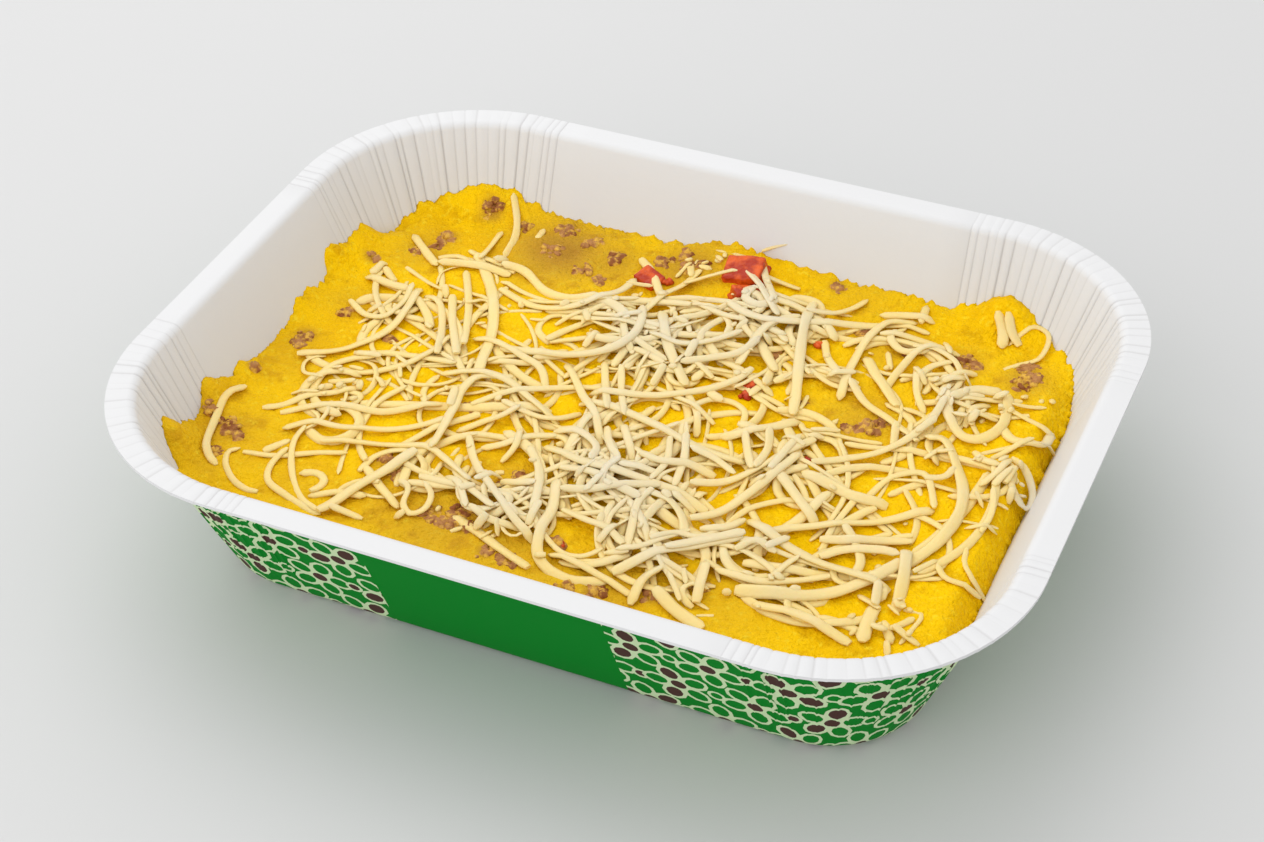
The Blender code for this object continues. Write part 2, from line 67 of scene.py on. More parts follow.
# The tray, as in the solids.
LENGTH, WIDTH, HEIGHT = 190, 147, 39.5
CORNER = 40
BOARD = 0.7
FLANGE = 5.6
BASE_INSET = 21.4
SHOULDER_RADIUS = 2.2
BASE_FILLET = 5
CENTRE_X, CENTRE_Y = LENGTH / 2 - CORNER, WIDTH / 2 - CORNER

# Distances round the tray are measured half way up the wall, where its corners have this radius.
WALL_RADIUS = 26
ARC = WALL_RADIUS * math.pi / 2
ROUND = 4 * (CENTRE_X + CENTRE_Y + ARC)

# The creases of each corner, and how far down the wall they start to fade and how long that takes.
CREASES = 30
CREASE_OVERRUN = 7
CREASE_HALF = 0.33
CREASE_DEPTH = 0.3
CREASE_BULGE = 0.09
CREASE_END, CREASE_FADE = 30, 14

# The print: rows of flowers round the tray, with a plain green panel at the front.
PRINT_COLUMNS = 34
PRINT_ROWS = (11.0, 22.5, 34.0, 45.5)
PRINT_LIFT = 0.04
PETALS = 5
PETAL_EDGE, PETAL_FILL = (1.2, 6.2, 5.2), (2.1, 4.5, 3.5)
HEART_EDGE, HEART_FILL = 2.3, 1.6
DOT_EDGE, DOT_FILL, DOT_SIDES = 1.9, 1.2, 10
PLAIN_RIM = FLANGE + 1.0
PANEL_SPAN = (-28, 22)
OVERLAP = 9
PLAIN, PALE, BROWN = 0, 1, 2

# The mash, as in the solids. Its ragged edge, by height and span, reaches a little into the board, and
# its rings lie so far in from that edge.
MASH_LEVEL = 22.5
MASH_SWELL, MASH_SWELL_SPAN = 0.7, 38
MASH_LUMP, MASH_LUMP_SPAN = 1.1, 13
CLIMB_REACH = 7
MASH_SIDES = 960
MASH_RAGGED = ((2.6, 5.0), (1.9, 2.2), (0.8, 1.1))
MASH_BITE = 0.25
MASH_BLEND = 1.6
MASH_RINGS = list(np.arange(0.6, 21, 0.75)) + list(np.arange(22, 58, 2.0))
CRAGS = numbers("""
-82,-46,7.5,4 -84,-28,5,3 -82,-17,2,3 -82,9,2,3.5 -84,24,5,3 -82,34,3.5,5 -79,44,-2.5,4 -64,59,3.5,9
0,61,2.5,8 34,61,1.5,5 61,61,5.5,6 76,50,2,5 82,28,-6,14 82,-4,-6,16 82,-30,-3,12
""")

# Clusters of minced meat that show in the photograph, and their radius, in pixels.
MEAT = numbers("""
492,215,10 527,228,7 568,230,11 553,250,12 594,244,9 583,270,9 597,281,7 617,258,7 665,262,8 690,268,9
703,262,7 686,255,5 838,287,8 962,360,8 973,366,7 1028,370,11 1021,384,10 1036,378,7 850,429,8 868,427,9
882,425,8 772,355,7 865,335,7 908,352,6 430,512,9 448,522,10 462,512,10 470,528,9 490,510,9 505,488,8
520,478,7 485,551,9 508,560,8 562,592,8 592,592,10 652,596,8 700,585,9 448,237,9 438,246,7 418,250,8
372,258,6 345,312,6 306,335,9 300,343,6 253,366,5 208,401,6 228,424,11 234,433,8 217,452,6 390,340,5
386,460,6 396,476,7 470,408,7 556,543,6 735,318,6 800,402,6
""")

# Wide patches where the mash is browned by the meat, some partly painted shade: place, radius in pixels,
# strength.
MEAT_STAIN = 0.85
# The wide patches on the left stand partly for the shade over the mash there, painted in as stain.
STAINS_AND_SHADE = numbers("""
560,250,50,0.85 612,262,34,0.6 690,266,34,0.7 465,515,38,0.55 600,588,42,0.45 1026,380,22,0.6
228,428,26,0.5 425,250,30,0.45 860,420,38,0.45 725,600,45,0.3 968,365,18,0.5 510,480,28,0.4
300,340,14,0.4 350,300,26,0.3 890,350,28,0.35 210,465,20,0.35 215,440,70,0.3 290,360,45,0.25
290,490,45,0.25 400,530,60,0.3 860,300,40,0.25 440,522,55,0.5 500,548,42,0.45 392,500,40,0.35
640,585,40,0.35 545,575,30,0.4
""")

# Bits of tomato: middle, sides and turn, as in the solids.
TOMATOES = {
    "tomato_large": ((2.5, 54.5), (8.5, 6.0, 5.5), (14, -8, 6)),
    "tomato_small": ((5.5, 46.8), (6.0, 4.5, 4.0), (-10, 12, 35)),
    "tomato_bit": ((-16.5, 45.0), (5.5, 4.0, 3.6), (8, 10, -20)),
}
TOMATO_SHOWING = 0.45
TOMATO_CREASE = 0.55
TOMATO_FIT = 1.16
TOMATO_TAPER = 0.12

# The cheese heap seen from above.
HEAP_CENTRE = (2, 0)
HEAP_OUTLINE = numbers("""
80,9 80,22 79,36 65,38 51,43 46,52 33,50 16,51 0,45 -14,39 -22,32 -45,38 -56,42 -71,32 -76,9 -73,-9
-64,-31 -55,-44 -43,-49 -23,-41 -4,-45 17,-46 34,-47 44,-43 68,-45 67,-31 75,-18 79,-4
""")

# The surface that the shreds' places in the photograph are read on: a low dome.
DOME_MIDDLE, DOME_REACH = (2, 0), (78, 49)
DOME_FOOT, DOME_RISE = 23.5, 5.0

# Shreds drawn by a rule: how many, how long and wide, and how much they turn.
FILL_SHREDS = 330
FILL_LENGTHS = (9, 40)
FILL_WIDTHS = (0.9, 1.2, 1.5, 1.7, 2.0)
FILL_TURN = 1.9
FILL_REACH = 0.96
GOLDEN_ANGLE = 2.399963

# Small bits of cheese: how many are tried, and how long they are.
BIT_TRIES = 260
BIT_LENGTHS = (1.0, 1.5, 2.2, 3.2, 6.0)
BIT_STEP = 0.8

# Where the mash shows through the heap, where scraps of tomato lie, and where small bits of cheese
# gather: places and radii in pixels.
WINDOWS = numbers("""
509,450,24 573,523,20 659,456,9 868,408,24 818,343,12 888,355,15 430,512,30 632,568,9 731,586,10
855,550,16 935,495,17 470,408,10 780,505,10 330,455,9
""")
SCRAPS = numbers("""
750,386,7 745,398,6 817,346,6 668,283,6 796,344,3 562,545,4 806,460,4
""")
BIT_CLUSTERS = numbers("""
375,302,34 345,375,30 330,488,26 975,400,42 1010,445,34 705,256,20 900,330,24 790,265,12 540,232,12
345,240,7 620,250,8 1030,480,26 400,500,20 880,620,34
""")

# How a shred is made: the step along it, how thick it is for its width, the shape of its section, how
# much more painted yellow light from the mash below its underside gets, and how blunt its ends are.
SHRED_STEP = 1.1
SHRED_THICKNESS = (0.33, 0.47)
SHRED_CORNERS = ((1.0, 0.36), (0.6, 1.0))
UNDERSIDE_MASH_LIGHT = np.array([0, 0, 0, 0, 0.4, 0.4, 0.4, 0.4])
END_SWELLS = (0.25, 0.5, 0.7)
TRACED_SHARE = 0.84

# The grid that the heap is piled up on, and the height that it nears but doesn't pass.
SHRED_GRID = 0.5
HEAP_LIMIT = 6.0

# The shreds that show in the photograph: the width, the first place and the steps to the next ones, all
# in pixels.
TRACED = """
9 246,386 -18,12 -12,20 -9,22 1,12 8,9
7 240,445 -12,3 -3,12 7,15 13,10 12,3
8 243,449 32,4 45,-3 27,-1
8 287,447 -17,16 -2,15 17,14 20,13 15,7
7 305,427 -11,13 -3,20 3,20 8,17 16,13
13 415,445 -30,23 -30,20 -25,17 -12,7
9 330,508 15,4 17,5
7 398,478 10,9 -5,16 7,10 14,-6 7,-15 -7,-12
9 468,425 4,20 8,20 15,25 17,25 20,20
9 460,440 -5,20 10,20 15,15 13,13
8 445,468 13,12 5,15 3,14
11 297,352 28,-5 30,-8 30,-14 20,-17 15,-24
9 262,405 23,-3 25,-10 25,-5 25,-9
9 280,410 30,-5 35,-3 35,1 35,-7 25,-6
9 282,426 28,-4 35,2 40,-4 40,-8 25,-7
9 320,440 30,-3 40,0 35,0 20,13 25,28
13 477,253 10,19 6,23 -2,25 -9,25 -8,20
11 512,362 -32,1 -18,12 -9,20 -10,20 -13,25
10 413,232 12,16 12,16
10 366,275 22,9 22,4
8 350,300 16,12 20,1 17,-13 10,-16
10 438,262 22,0 25,4 25,4
10 452,290 0,25 4,30
9 425,290 15,10 1,25 -5,20
9 466,268 2,32 -5,35
9 514,201 3,19 -3,18 -10,16
8 502,228 -12,17 -10,14
7 544,226 -8,12
11 502,264 23,4 20,15 27,7 27,1
10 636,277 -16,11 -20,6 -30,5 -35,-3 -35,-13
10 641,255 10,17 11,22
10 700,270 -17,13 -21,10 -22,14
11 642,302 -1,14 -11,14 -22,8 -36,3 -37,-2 -35,-5
8 684,283 26,-4 28,-3 27,4 35,8
12 662,305 4,25 9,20 11,20
9 472,325 23,5 25,12 20,11 5,17
10 440,360 40,0 30,8 25,19 22,15
8 470,388 30,-10 40,-6 35,-5 30,1
8 500,384 20,10 30,6 30,-9
11 580,382 30,8 30,12 28,16 22,12 30,11 26,6
9 565,345 10,17 8,18 11,18 6,27
9 604,345 1,25 2,24
8 621,350 0,25 3,25
10 752,358 -17,10 -30,7 -40,4 -40,-1 -37,-5
9 742,327 -27,6 -35,2 -30,-10
12 800,318 -30,6 -20,16 -12,14
10 728,303 17,10 27,9 38,2 40,2 35,-1
9 680,350 30,-2 30,-3 20,-10
12 814,306 -9,19 -5,25 -3,25 -4,25
9 745,274 12,16 11,15 10,13
9 762,270 5,18 8,18
8 868,297 -16,11 -20,9 -26,-1
11 918,320 -30,3 -20,15 -16,20 -12,27
9 960,352 -22,-4 -21,5 -19,14 -14,13
10 927,303 -6,19
9 880,312 25,2 30,6
9 880,335 30,2 30,6
9 977,371 -19,4 -23,8
8 917,362 0,23 8,18
10 850,372 15,18 23,15 17,15 13,12
9 825,335 3,15 10,16
13 866,350 10,16 12,16 10,14
11 720,420 25,-2 30,-6 25,-7
6 803,416 32,4 25,4 23,4
9 897,412 -3,24
12 946,392 3,20 13,18 21,4 19,-9 6,-20 0,-14
12 950,399 25,-7 28,2
8 965,420 10,-12 15,-6
6 1004,366 18,-5 16,-4 9,-10 1,-9 -12,-6 -16,4 -11,6
5 1012,404 18,1 17,-1
6 1010,410 25,10 21,9
8 1012,455 14,11 8,16 -6,15 -14,-9 -6,-18
7 992,453 20,-6 22,-9
7 1040,440 20,-4
9 975,445 10,13 15,7
13 925,428 20,5 11,22 7,25 -2,25 -13,22 -22,20 -28,17
14 905,558 -35,19 -35,13 -35,6 -35,-3 -30,-6
12 803,460 27,12 25,13 33,8
12 778,460 14,18 13,19 12,16
11 935,500 -30,6 -40,6 -40,3 -35,3 -28,8
9 812,450 33,-4 35,-6 28,-10 24,-15 13,-15
8 868,482 17,-14 20,-6 20,2 7,16 3,20
8 925,470 20,0 10,-8
10 845,518 10,15 6,22 -9,21
10 820,530 30,3 35,0 27,1
10 820,550 25,-7 35,2 20,7
12 748,505 17,18 25,19 30,16 30,12 40,18
13 907,545 -3,30 -8,33
14 876,602 -8,18 -6,20
10 884,618 8,22
12 752,603 38,9 30,13 30,15
5 965,521 33,4
6 967,545 -2,15 10,15 17,8
7 937,562 8,13 20,6 17,3
5 904,606 18,5 -10,15 -12,14
9 980,482 20,-12 10,-12
11 452,510 23,15 25,20 28,19
6 450,528 12,-6
12 556,468 -4,32 -11,25 -4,23 10,17 23,12 37,1
10 528,432 10,23 0,25 -6,29
11 545,428 30,19 30,11 35,10 32,12 35,18
9 500,470 20,4 15,2
9 553,412 27,6 16,16 -6,16
9 606,410 3,20 9,18
9 622,405 7,25 4,16
9 686,420 -2,25 -10,29
8 670,425 -4,25 -16,20
10 648,483 22,9 13,18 1,21
9 652,482 -14,14 -6,24 -7,30
9 562,500 23,13 23,12 15,17
8 604,549 25,1
12 742,530 -42,10 -45,13 -43,18
12 745,527 -40,9 -40,12
8 690,522 -18,8 -32,15 -25,3
7 725,518 -25,14 -24,-4 -26,8
9 548,548 27,12 30,17 27,16
12 662,570 -20,11 -12,21
14 655,590 20,18 28,19
6 668,574 7,16 5,12
11 706,558 -5,22 -5,23
10 560,455 30,7 30,18 20,12
10 690,470 30,-2 25,-8 30,-15 40,-20
11 690,510 30,-10 30,-20 30,-22 20,-18
10 700,520 25,0 20,-12
10 722,543 6,17 20,15 20,-5
9 735,545 20,-7 21,12
9 715,565 25,10 20,5 30,-2 40,-6
8 768,580 17,-18 15,-10
9 745,420 3,20 4,15
9 770,415 -2,20 -13,20
9 800,423 -15,17 -15,20
9 620,448 -15,14 -5,18
10 640,440 20,10 30,2 25,8
8 690,435 25,10 20,15
9 560,480 30,2 35,-4 35,-2
9 455,415 25,-10 20,-5 20,-8
9 480,432 25,-4 25,-8 25,-2
8 500,445 15,-15 5,-20
13 997,322 6,12 -1,12
11 1007,325 5,11 8,7
5 716,253 19,5 17,4
5 762,257 28,2
"""


def smooth_step(value):
    """0 below 0, 1 above 1, and smooth between them."""
    value = np.clip(value, 0.0, 1.0)
    return value * value * (3 - 2 * value)


def noise_at(points, span):
    """Smooth noise from about -1 to 1 at each point, with features about span across."""
    return np.array([noise.noise(Vector(point) / span) for point in points])


def pointing(angle):
    """The direction at an angle, of length 1."""
    return np.array([math.cos(angle), math.sin(angle)])


def outline(u):
    """The point on the rim's edge and the outward direction at each distance round the tray."""
    u = np.asarray(u, float) % ROUND
    points, outs = np.zeros((len(u), 2)), np.zeros((len(u), 2))
    runs = [(CENTRE_X, 90, None)]
    for degrees, x, y in ((90, -1, 1), (180, -1, -1), (270, 1, -1), (0, 1, 1)):
        side = CENTRE_X if degrees == 0 else 2 * (CENTRE_Y if x != y else CENTRE_X)
        runs += [(ARC, degrees, (x * CENTRE_X, y * CENTRE_Y)), (side, (degrees + 90) % 360, None)]
    start, pen = 0.0, np.array([0.0, WIDTH / 2])
    for length, degrees, centre in runs:
        here = (u >= start - 1e-9) & (u <= start + length + 1e-9)
        along = u[here] - start
        if centre is None:
            out = pointing(math.radians(degrees))
            ahead = np.array([-out[1], out[0]])
            points[here] = pen + along[:, None] * ahead
            outs[here] = out
            pen = pen + length * ahead
        else:
            turn = math.radians(degrees) + along / WALL_RADIUS
            outs[here] = np.stack([np.cos(turn), np.sin(turn)], axis=1)
            points[here] = np.array(centre) + CORNER * outs[here]
            pen = np.array(centre) + CORNER * pointing(math.radians(degrees + 90))
        start += length
    return points, outs


def filleted(corners, radii, steps):
    """A 2D line through corners, with each inner corner rounded to its radius."""
    line = [Vector(corners[0])]
    for before, corner, after, radius in zip(corners, corners[1:], corners[2:], radii):
        corner = Vector(corner)
        back = (Vector(before) - corner).normalized()
        ahead = (Vector(after) - corner).normalized()
        half = back.angle(ahead) / 2
        centre = corner + (back + ahead).normalized() * radius / math.sin(half)
        first = corner + back * radius / math.tan(half) - centre
        turn = first.angle_signed(corner + ahead * radius / math.tan(half) - centre)
        for k in range(steps + 1):
            angle = -turn * k / steps
            cos, sin = math.cos(angle), math.sin(angle)
            line.append(centre + Vector((first.x * cos - first.y * sin, first.x * sin + first.y * cos)))
    return line + [Vector(corners[-1])]


class Section:
    """The board's food side, from the base to the rim's edge: inset, height and outer normal."""

    def __init__(self, steps, spacing):
        corners = ((2 * BASE_INSET, BOARD), (BASE_INSET, BOARD), (FLANGE, HEIGHT), (0, HEIGHT))
        coarse = np.array([tuple(p) for p in filleted(corners, (BASE_FILLET, SHOULDER_RADIUS), steps)])
        line = [coarse[0]]
        for start, end in zip(coarse[:-1], coarse[1:]):
            parts = max(1, round(np.hypot(*(end - start)) / spacing))
            line += [start + (end - start) * k / parts for k in range(1, parts + 1)]
        self.line = np.array(line)
        along = np.gradient(self.line, axis=0)
        along /= np.hypot(along[:, 0], along[:, 1])[:, None]
        self.normals = np.stack([-along[:, 1], along[:, 0]], axis=1)
        steps = np.hypot(*np.diff(self.line, axis=0).T)
        self.down = np.concatenate([np.cumsum(steps[::-1])[::-1], [0.0]])

    def at(self, down):
        """The line and its normals at each distance down from the rim."""
        order = np.argsort(self.down)
        tables = (self.line[:, 0], self.line[:, 1], self.normals[:, 0], self.normals[:, 1])
        return [np.interp(down, self.down[order], table[order]) for table in tables]


SECTION = Section(6, 6.0)
WALL_SLOPE = (BASE_INSET - FLANGE) / (HEIGHT - BOARD)


def wall_inset(height):
    """How far the wall's food side lies inside the rim's edge at a height."""
    return FLANGE + (HEIGHT - height) * WALL_SLOPE


def rim_distance(x, y):
    """How far points lie inside the rim's edge, seen from above."""
    dx, dy = np.abs(x) - CENTRE_X, np.abs(y) - CENTRE_Y
    return CORNER - np.hypot(np.maximum(dx, 0), np.maximum(dy, 0)) - np.minimum(np.maximum(dx, dy), 0)


class Creases:
    """Where each corner's creases run, as stations round the tray with the depth of the groove at each."""

    def __init__(self):
        draw = random.Random(SEED)
        places = []
        start = CENTRE_X
        for side in (2 * CENTRE_Y, 2 * CENTRE_X) * 2:
            reach = ARC + 2 * CREASE_OVERRUN
            for k in range(CREASES):
                share = (k + 0.5 + draw.uniform(-0.3, 0.3)) / CREASES
                place = start - CREASE_OVERRUN + share * reach
                places.append((place, draw.uniform(0.25, 1.0), draw.uniform(0.1, 0.6)))
            start += ARC + side
        stations = {}
        for (u, depth, on_rim), (after, _, _) in zip(places, places[1:] + [(ROUND + places[0][0], 0, 0)]):
            stations[u - CREASE_HALF] = (0.0, 0.0, 0.0)
            stations[u] = (depth, 0.0, on_rim)
            stations[u + CREASE_HALF] = (0.0, 0.0, 0.0)
            gap = after - u - 2 * CREASE_HALF
            parts = 2 if gap < 4 else round(gap / 6)
            for k in range(1, parts):
                bulge = draw.uniform(-1.0, 1.0) if gap < 4 else 0.0
                stations[(u + CREASE_HALF + gap * k / parts) % ROUND] = (0.0, bulge, 0.0)
        self.u = np.array(sorted(stations))
        self.groove = np.array([stations[u][0] for u in self.u])
        self.bulge = np.array([stations[u][1] for u in self.u])
        self.on_rim = np.array([stations[u][2] for u in self.u])

    def relief(self, u, down):
        """How far the board is pressed away from the food at each place, and how much of it is groove."""
        groove = np.interp(u, self.u, self.groove, period=ROUND)
        on_rim = np.interp(u, self.u, self.on_rim, period=ROUND)
        bulge = np.interp(u, self.u, self.bulge, period=ROUND)
        fade = 1 - smooth_step((down - CREASE_END) / CREASE_FADE)
        wall = smooth_step((down - 0.5 * FLANGE) / FLANGE)
        groove = (on_rim + (groove - on_rim) * wall) * fade
        below = smooth_step((down - FLANGE) / 3)
        return groove * CREASE_DEPTH + CREASE_BULGE * bulge * below * fade, groove


CREASED = Creases()


def board_points(u, down, depth):
    """Points of the board at a depth below its food side, and how much of each is groove."""
    points, outs = outline(u)
    inset, height, normal_in, normal_up = SECTION.at(down)
    pressed, groove = CREASED.relief(u, down)
    shift = depth + pressed
    inset = inset + normal_in * shift
    made = np.empty((len(u), 3))
    made[:, :2] = points - outs * inset[:, None]
    made[:, 2] = height + normal_up * shift
    return made, groove


def mesh_object(name, points, faces, materials=(), indices=None, smooth=True):
    """An object from points in millimetres."""
    mesh = bpy.data.meshes.new(name)
    mesh.from_pydata((np.asarray(points, float) * MM).tolist(), [], faces)
    for finish in materials:
        mesh.materials.append(finish)
    if indices is not None:
        mesh.polygons.foreach_set("material_index", np.asarray(indices, dtype=np.int32))
    mesh.polygons.foreach_set("use_smooth", [smooth] * len(mesh.polygons))
    mesh.update()
    obj = bpy.data.objects.new(name, mesh)
    bpy.context.scene.collection.objects.link(obj)
    return obj


def set_attribute(obj, name, values):
    """Stores a number for each point of an object's mesh."""
    layer = obj.data.attributes.new(name, "FLOAT", "POINT")
    layer.data.foreach_set("value", np.asarray(values, dtype=np.float32))


def ring_faces(rings, count):
    """The faces between rings of equal count."""
    faces = []
    for low in range(0, (rings - 1) * count, count):
        for i in range(count):
            j = (i + 1) % count
            faces.append((low + i, low + j, low + count + j, low + count + i))
    return faces


def closed_faces(rings, count):
    """The faces between rings, with a fan at each end. The middles of the fans are the last points."""
    faces = ring_faces(rings, count)
    middle, last = rings * count, (rings - 1) * count
    for i in range(count):
        j = (i + 1) % count
        faces += [(j, i, middle), (last + i, last + j, middle + 1)]
    return faces


class Finish:
    """A material made from a few nodes. Spans are in millimetres."""

    def __init__(self, name, colour, roughness, **sockets):
        self.made = bpy.data.materials.new(name)
        self.made.use_nodes = True
        self.tree = self.made.node_tree
        self.link = self.tree.links.new
        self.shader = self.tree.nodes["Principled BSDF"]
        self.shader.inputs["Base Color"].default_value = (*colour, 1)
        self.shader.inputs["Roughness"].default_value = roughness
        for socket, value in sockets.items():
            self.shader.inputs[socket.replace("_", " ")].default_value = value
        self.place = None

    def noise(self, span, low=0.35, high=0.65, detail=2.0):
        """Noise spread from 0 to 1, with features of a span."""
        if not self.place:
            self.place = self.tree.nodes.new("ShaderNodeTexCoord").outputs["Object"]
        texture = self.tree.nodes.new("ShaderNodeTexNoise")
        texture.inputs["Scale"].default_value = 1 / (span * MM)
        texture.inputs["Detail"].default_value = detail
        self.link(self.place, texture.inputs["Vector"])
        return self.spread(texture.outputs["Fac"], low, high)

    def attribute(self, name, low=0.0, high=1.0):
        """A number stored on the mesh, spread from 0 to 1."""
        node = self.tree.nodes.new("ShaderNodeAttribute")
        node.attribute_name = name
        return self.spread(node.outputs["Fac"], low, high)

    def spread(self, socket, low, high):
        """A value spread from 0 to 1, and kept inside that."""
        node = self.tree.nodes.new("ShaderNodeMapRange")
        node.inputs["From Min"].default_value = low
        node.inputs["From Max"].default_value = high
        self.link(socket, node.inputs["Value"])
        return node.outputs["Result"]

    def mix(self, share, first, second):
        """A mix of two colours, each a tuple or a socket."""
        node = self.tree.nodes.new("ShaderNodeMix")
        node.data_type = "RGBA"
        self.link(share, node.inputs[0])
        for value, socket in ((first, node.inputs[6]), (second, node.inputs[7])):
            if isinstance(value, tuple):
                socket.default_value = (*value, 1)
            else:
                self.link(value, socket)
        return node.outputs[2]

    def colour(self, socket):
        """Uses a colour for the surface."""
        self.link(socket, self.shader.inputs["Base Color"])

    def bump(self, socket, depth):
        """Adds fine relief."""
        node = self.tree.nodes.new("ShaderNodeBump")
        node.inputs["Distance"].default_value = depth * MM
        node.inputs["Strength"].default_value = 1.0
        self.link(socket, node.inputs["Height"])
        self.link(node.outputs["Normal"], self.shader.inputs["Normal"])


def make_finishes():
    """The materials, by name."""
    white = Finish("white_board", (0.7, 0.7, 0.705), 0.5, Specular_IOR_Level=0.25)
    # Painted shade: the board darkens along each crease's groove, by the crease share stored on the mesh.
    crease = white.attribute("crease", 0.1, 1.0)
    white.colour(white.mix(crease, (0.7, 0.7, 0.705), (0.53, 0.52, 0.515)))
    white.bump(white.noise(1.6, 0.2, 0.8), 0.02)
    green = Finish("green_print", (0.0, 0.21, 0.016), 0.6, Specular_IOR_Level=0.06)
    cream = Finish("pale_print", (0.6, 0.74, 0.45), 0.6, Specular_IOR_Level=0.12)
    brown = Finish("brown_print", (0.07, 0.028, 0.022), 0.6, Specular_IOR_Level=0.12)

    mash = Finish("yellow_mash", (1.0, 0.6, 0.0), 0.5, Specular_IOR_Level=0.05)
    deep = mash.mix(mash.noise(13, 0.48, 0.66), (1.0, 0.61, 0.0), (0.92, 0.53, 0.0))
    deep = mash.mix(mash.noise(5, 0.56, 0.72), deep, (0.78, 0.43, 0.0))
    pale = mash.mix(mash.noise(1.3, 0.56, 0.75, 3.0), deep, (1.0, 0.7, 0.02))
    # Browned where stained by the meat, and in the wide patches on the left also painted shade.
    mash.colour(mash.mix(mash.attribute("meat"), pale, (0.4, 0.19, 0.03)))
    mash.bump(mash.noise(0.9, 0.25, 0.75, 5.0), 0.5)

    meat = Finish("minced_meat", (0.42, 0.18, 0.06), 0.5, Specular_IOR_Level=0.15)
    lean = meat.mix(meat.noise(4.5, 0.42, 0.6), (0.5, 0.23, 0.075), (0.29, 0.095, 0.025))
    meat.colour(meat.mix(meat.noise(1.4, 0.48, 0.62), lean, (0.75, 0.43, 0.06)))
    meat.bump(meat.noise(0.5, 0.2, 0.8, 3.0), 0.25)

    cheese = Finish(
        "grated_cheese", (0.66, 0.6, 0.42), 0.34, Specular_IOR_Level=0.25,
        Subsurface_Weight=0.3, Subsurface_Scale=0.9 * MM, Subsurface_Radius=(0.5, 0.75, 1.0),
    )
    tone = cheese.mix(cheese.attribute("tone"), (0.67, 0.63, 0.54), (0.67, 0.59, 0.41))
    tone = cheese.mix(cheese.noise(9, 0.35, 0.65), tone, (0.67, 0.61, 0.47))
    # Painted light: shreds low on the heap, and the undersides of all, are mixed towards a deeper yellow,
    # the mash's light shining through and onto them.
    cheese.colour(cheese.mix(cheese.attribute("low"), tone, (0.85, 0.65, 0.24)))
    cheese.bump(cheese.noise(1.0, 0.3, 0.7), 0.05)

    tomato = Finish("red_tomato", (0.5, 0.04, 0.01), 0.35, Specular_IOR_Level=0.25)
    tomato.colour(tomato.mix(tomato.noise(3, 0.4, 0.6), (0.74, 0.11, 0.012), (0.42, 0.03, 0.006)))
    tomato.bump(tomato.noise(1.2, 0.3, 0.7), 0.2)
    every = (white, green, cream, brown, mash, meat, cheese, tomato)
    return {finish.made.name: finish.made for finish in every}


def make_board(finishes):
    """The pressed board: food side, flange, cut edge and printed outside, with every crease."""
    u = CREASED.u
    count = len(u)
    points, groove = [], []
    # The crease share kept on each ring is painted shade in the board's colour: all of it on the food side,
    # less on the outside.
    for downs, depth, crease_shade_share in ((SECTION.down, 0.0, 1.0), (SECTION.down[::-1], BOARD, 0.4)):
        for down in downs:
            made, share = board_points(u, np.full(count, down), depth)
            points.append(made)
            groove.append(share * crease_shade_share)
    rings = len(points)
    points = np.concatenate(points + [np.array([[0, 0, BOARD], [0, 0, 0.0]])])
    indices = [0 if k < rings // 2 else 1 for k in range(rings - 1) for _ in range(count)]
    indices += [0, 1] * count
    skins = [finishes["white_board"], finishes["green_print"]]
    board = mesh_object("tray_board", points, closed_faces(rings, count), skins, indices)
    board.data.flip_normals()
    board.data.set_sharp_from_angle(angle=math.radians(40))
    set_attribute(board, "crease", np.concatenate(groove + [np.zeros(2)]))
    return board


def petal(centre, angle, start, length, width, steps=10):
    """A pointed oval that starts at a distance from a centre."""
    along = pointing(angle)
    across = np.array([-along[1], along[0]])
    made = []
    for k in range(steps):
        turn = 2 * math.pi * k / steps
        reach = start + length * (0.5 - 0.5 * math.cos(turn))
        side = -width / 2 * math.sin(turn) * (0.75 + 0.25 * abs(math.sin(turn)))
        made.append(np.array(centre) + along * reach + across * side)
    return made


def disc(centre, radius, steps=12):
    """A circle's points."""
    return [np.array(centre) + radius * pointing(2 * math.pi * k / steps) for k in range(steps)]


def print_shapes():
    """The print's shapes in painting order, as (colour, points)."""
    draw = random.Random(SEED + 1)
    shapes = []
    pitch = ROUND / PRINT_COLUMNS
    for column in range(PRINT_COLUMNS):
        for row, down in enumerate(PRINT_ROWS):
            centre = (pitch * (column + 0.5 * (row % 2) + 0.25), down)
            first = draw.uniform(0, math.pi)
            filled = (column + row) % 2
            for k in range(PETALS):
                angle = first + k * math.pi * 2 / PETALS
                shapes.append((PALE, petal(centre, angle, *PETAL_EDGE)))
                shapes.append((BROWN if filled and k % 2 else PLAIN, petal(centre, angle, *PETAL_FILL)))
            shapes.append((PALE, disc(centre, HEART_EDGE)))
            shapes.append((BROWN, disc(centre, HEART_FILL)))
            between = (centre[0] + pitch / 2, down)
            shapes.append((PALE, disc(between, DOT_EDGE, DOT_SIDES)))
            shapes.append((PLAIN if filled else BROWN, disc(between, DOT_FILL, DOT_SIDES)))
    for k in range(len(shapes) - 1, -1, -1):
        colour, loop = shapes[k]
        if max(u for u, _ in loop) > ROUND:
            shapes.insert(k + 1, (colour, [(u - ROUND, down) for u, down in loop]))
        if min(u for u, _ in loop) < 0:
            shapes.insert(k + 1, (colour, [(u + ROUND, down) for u, down in loop]))
    front = 2 * ARC + 2 * CENTRE_Y + 2 * CENTRE_X
    plain = (
        (-OVERLAP, ROUND + OVERLAP, PLAIN_RIM),
        (front + PANEL_SPAN[0], front + PANEL_SPAN[1], PRINT_ROWS[-1] + OVERLAP),
    )
    for start, end, low in plain:
        shapes.append((PLAIN, [(start, -OVERLAP), (end, -OVERLAP), (end, low), (start, low)]))
    return shapes


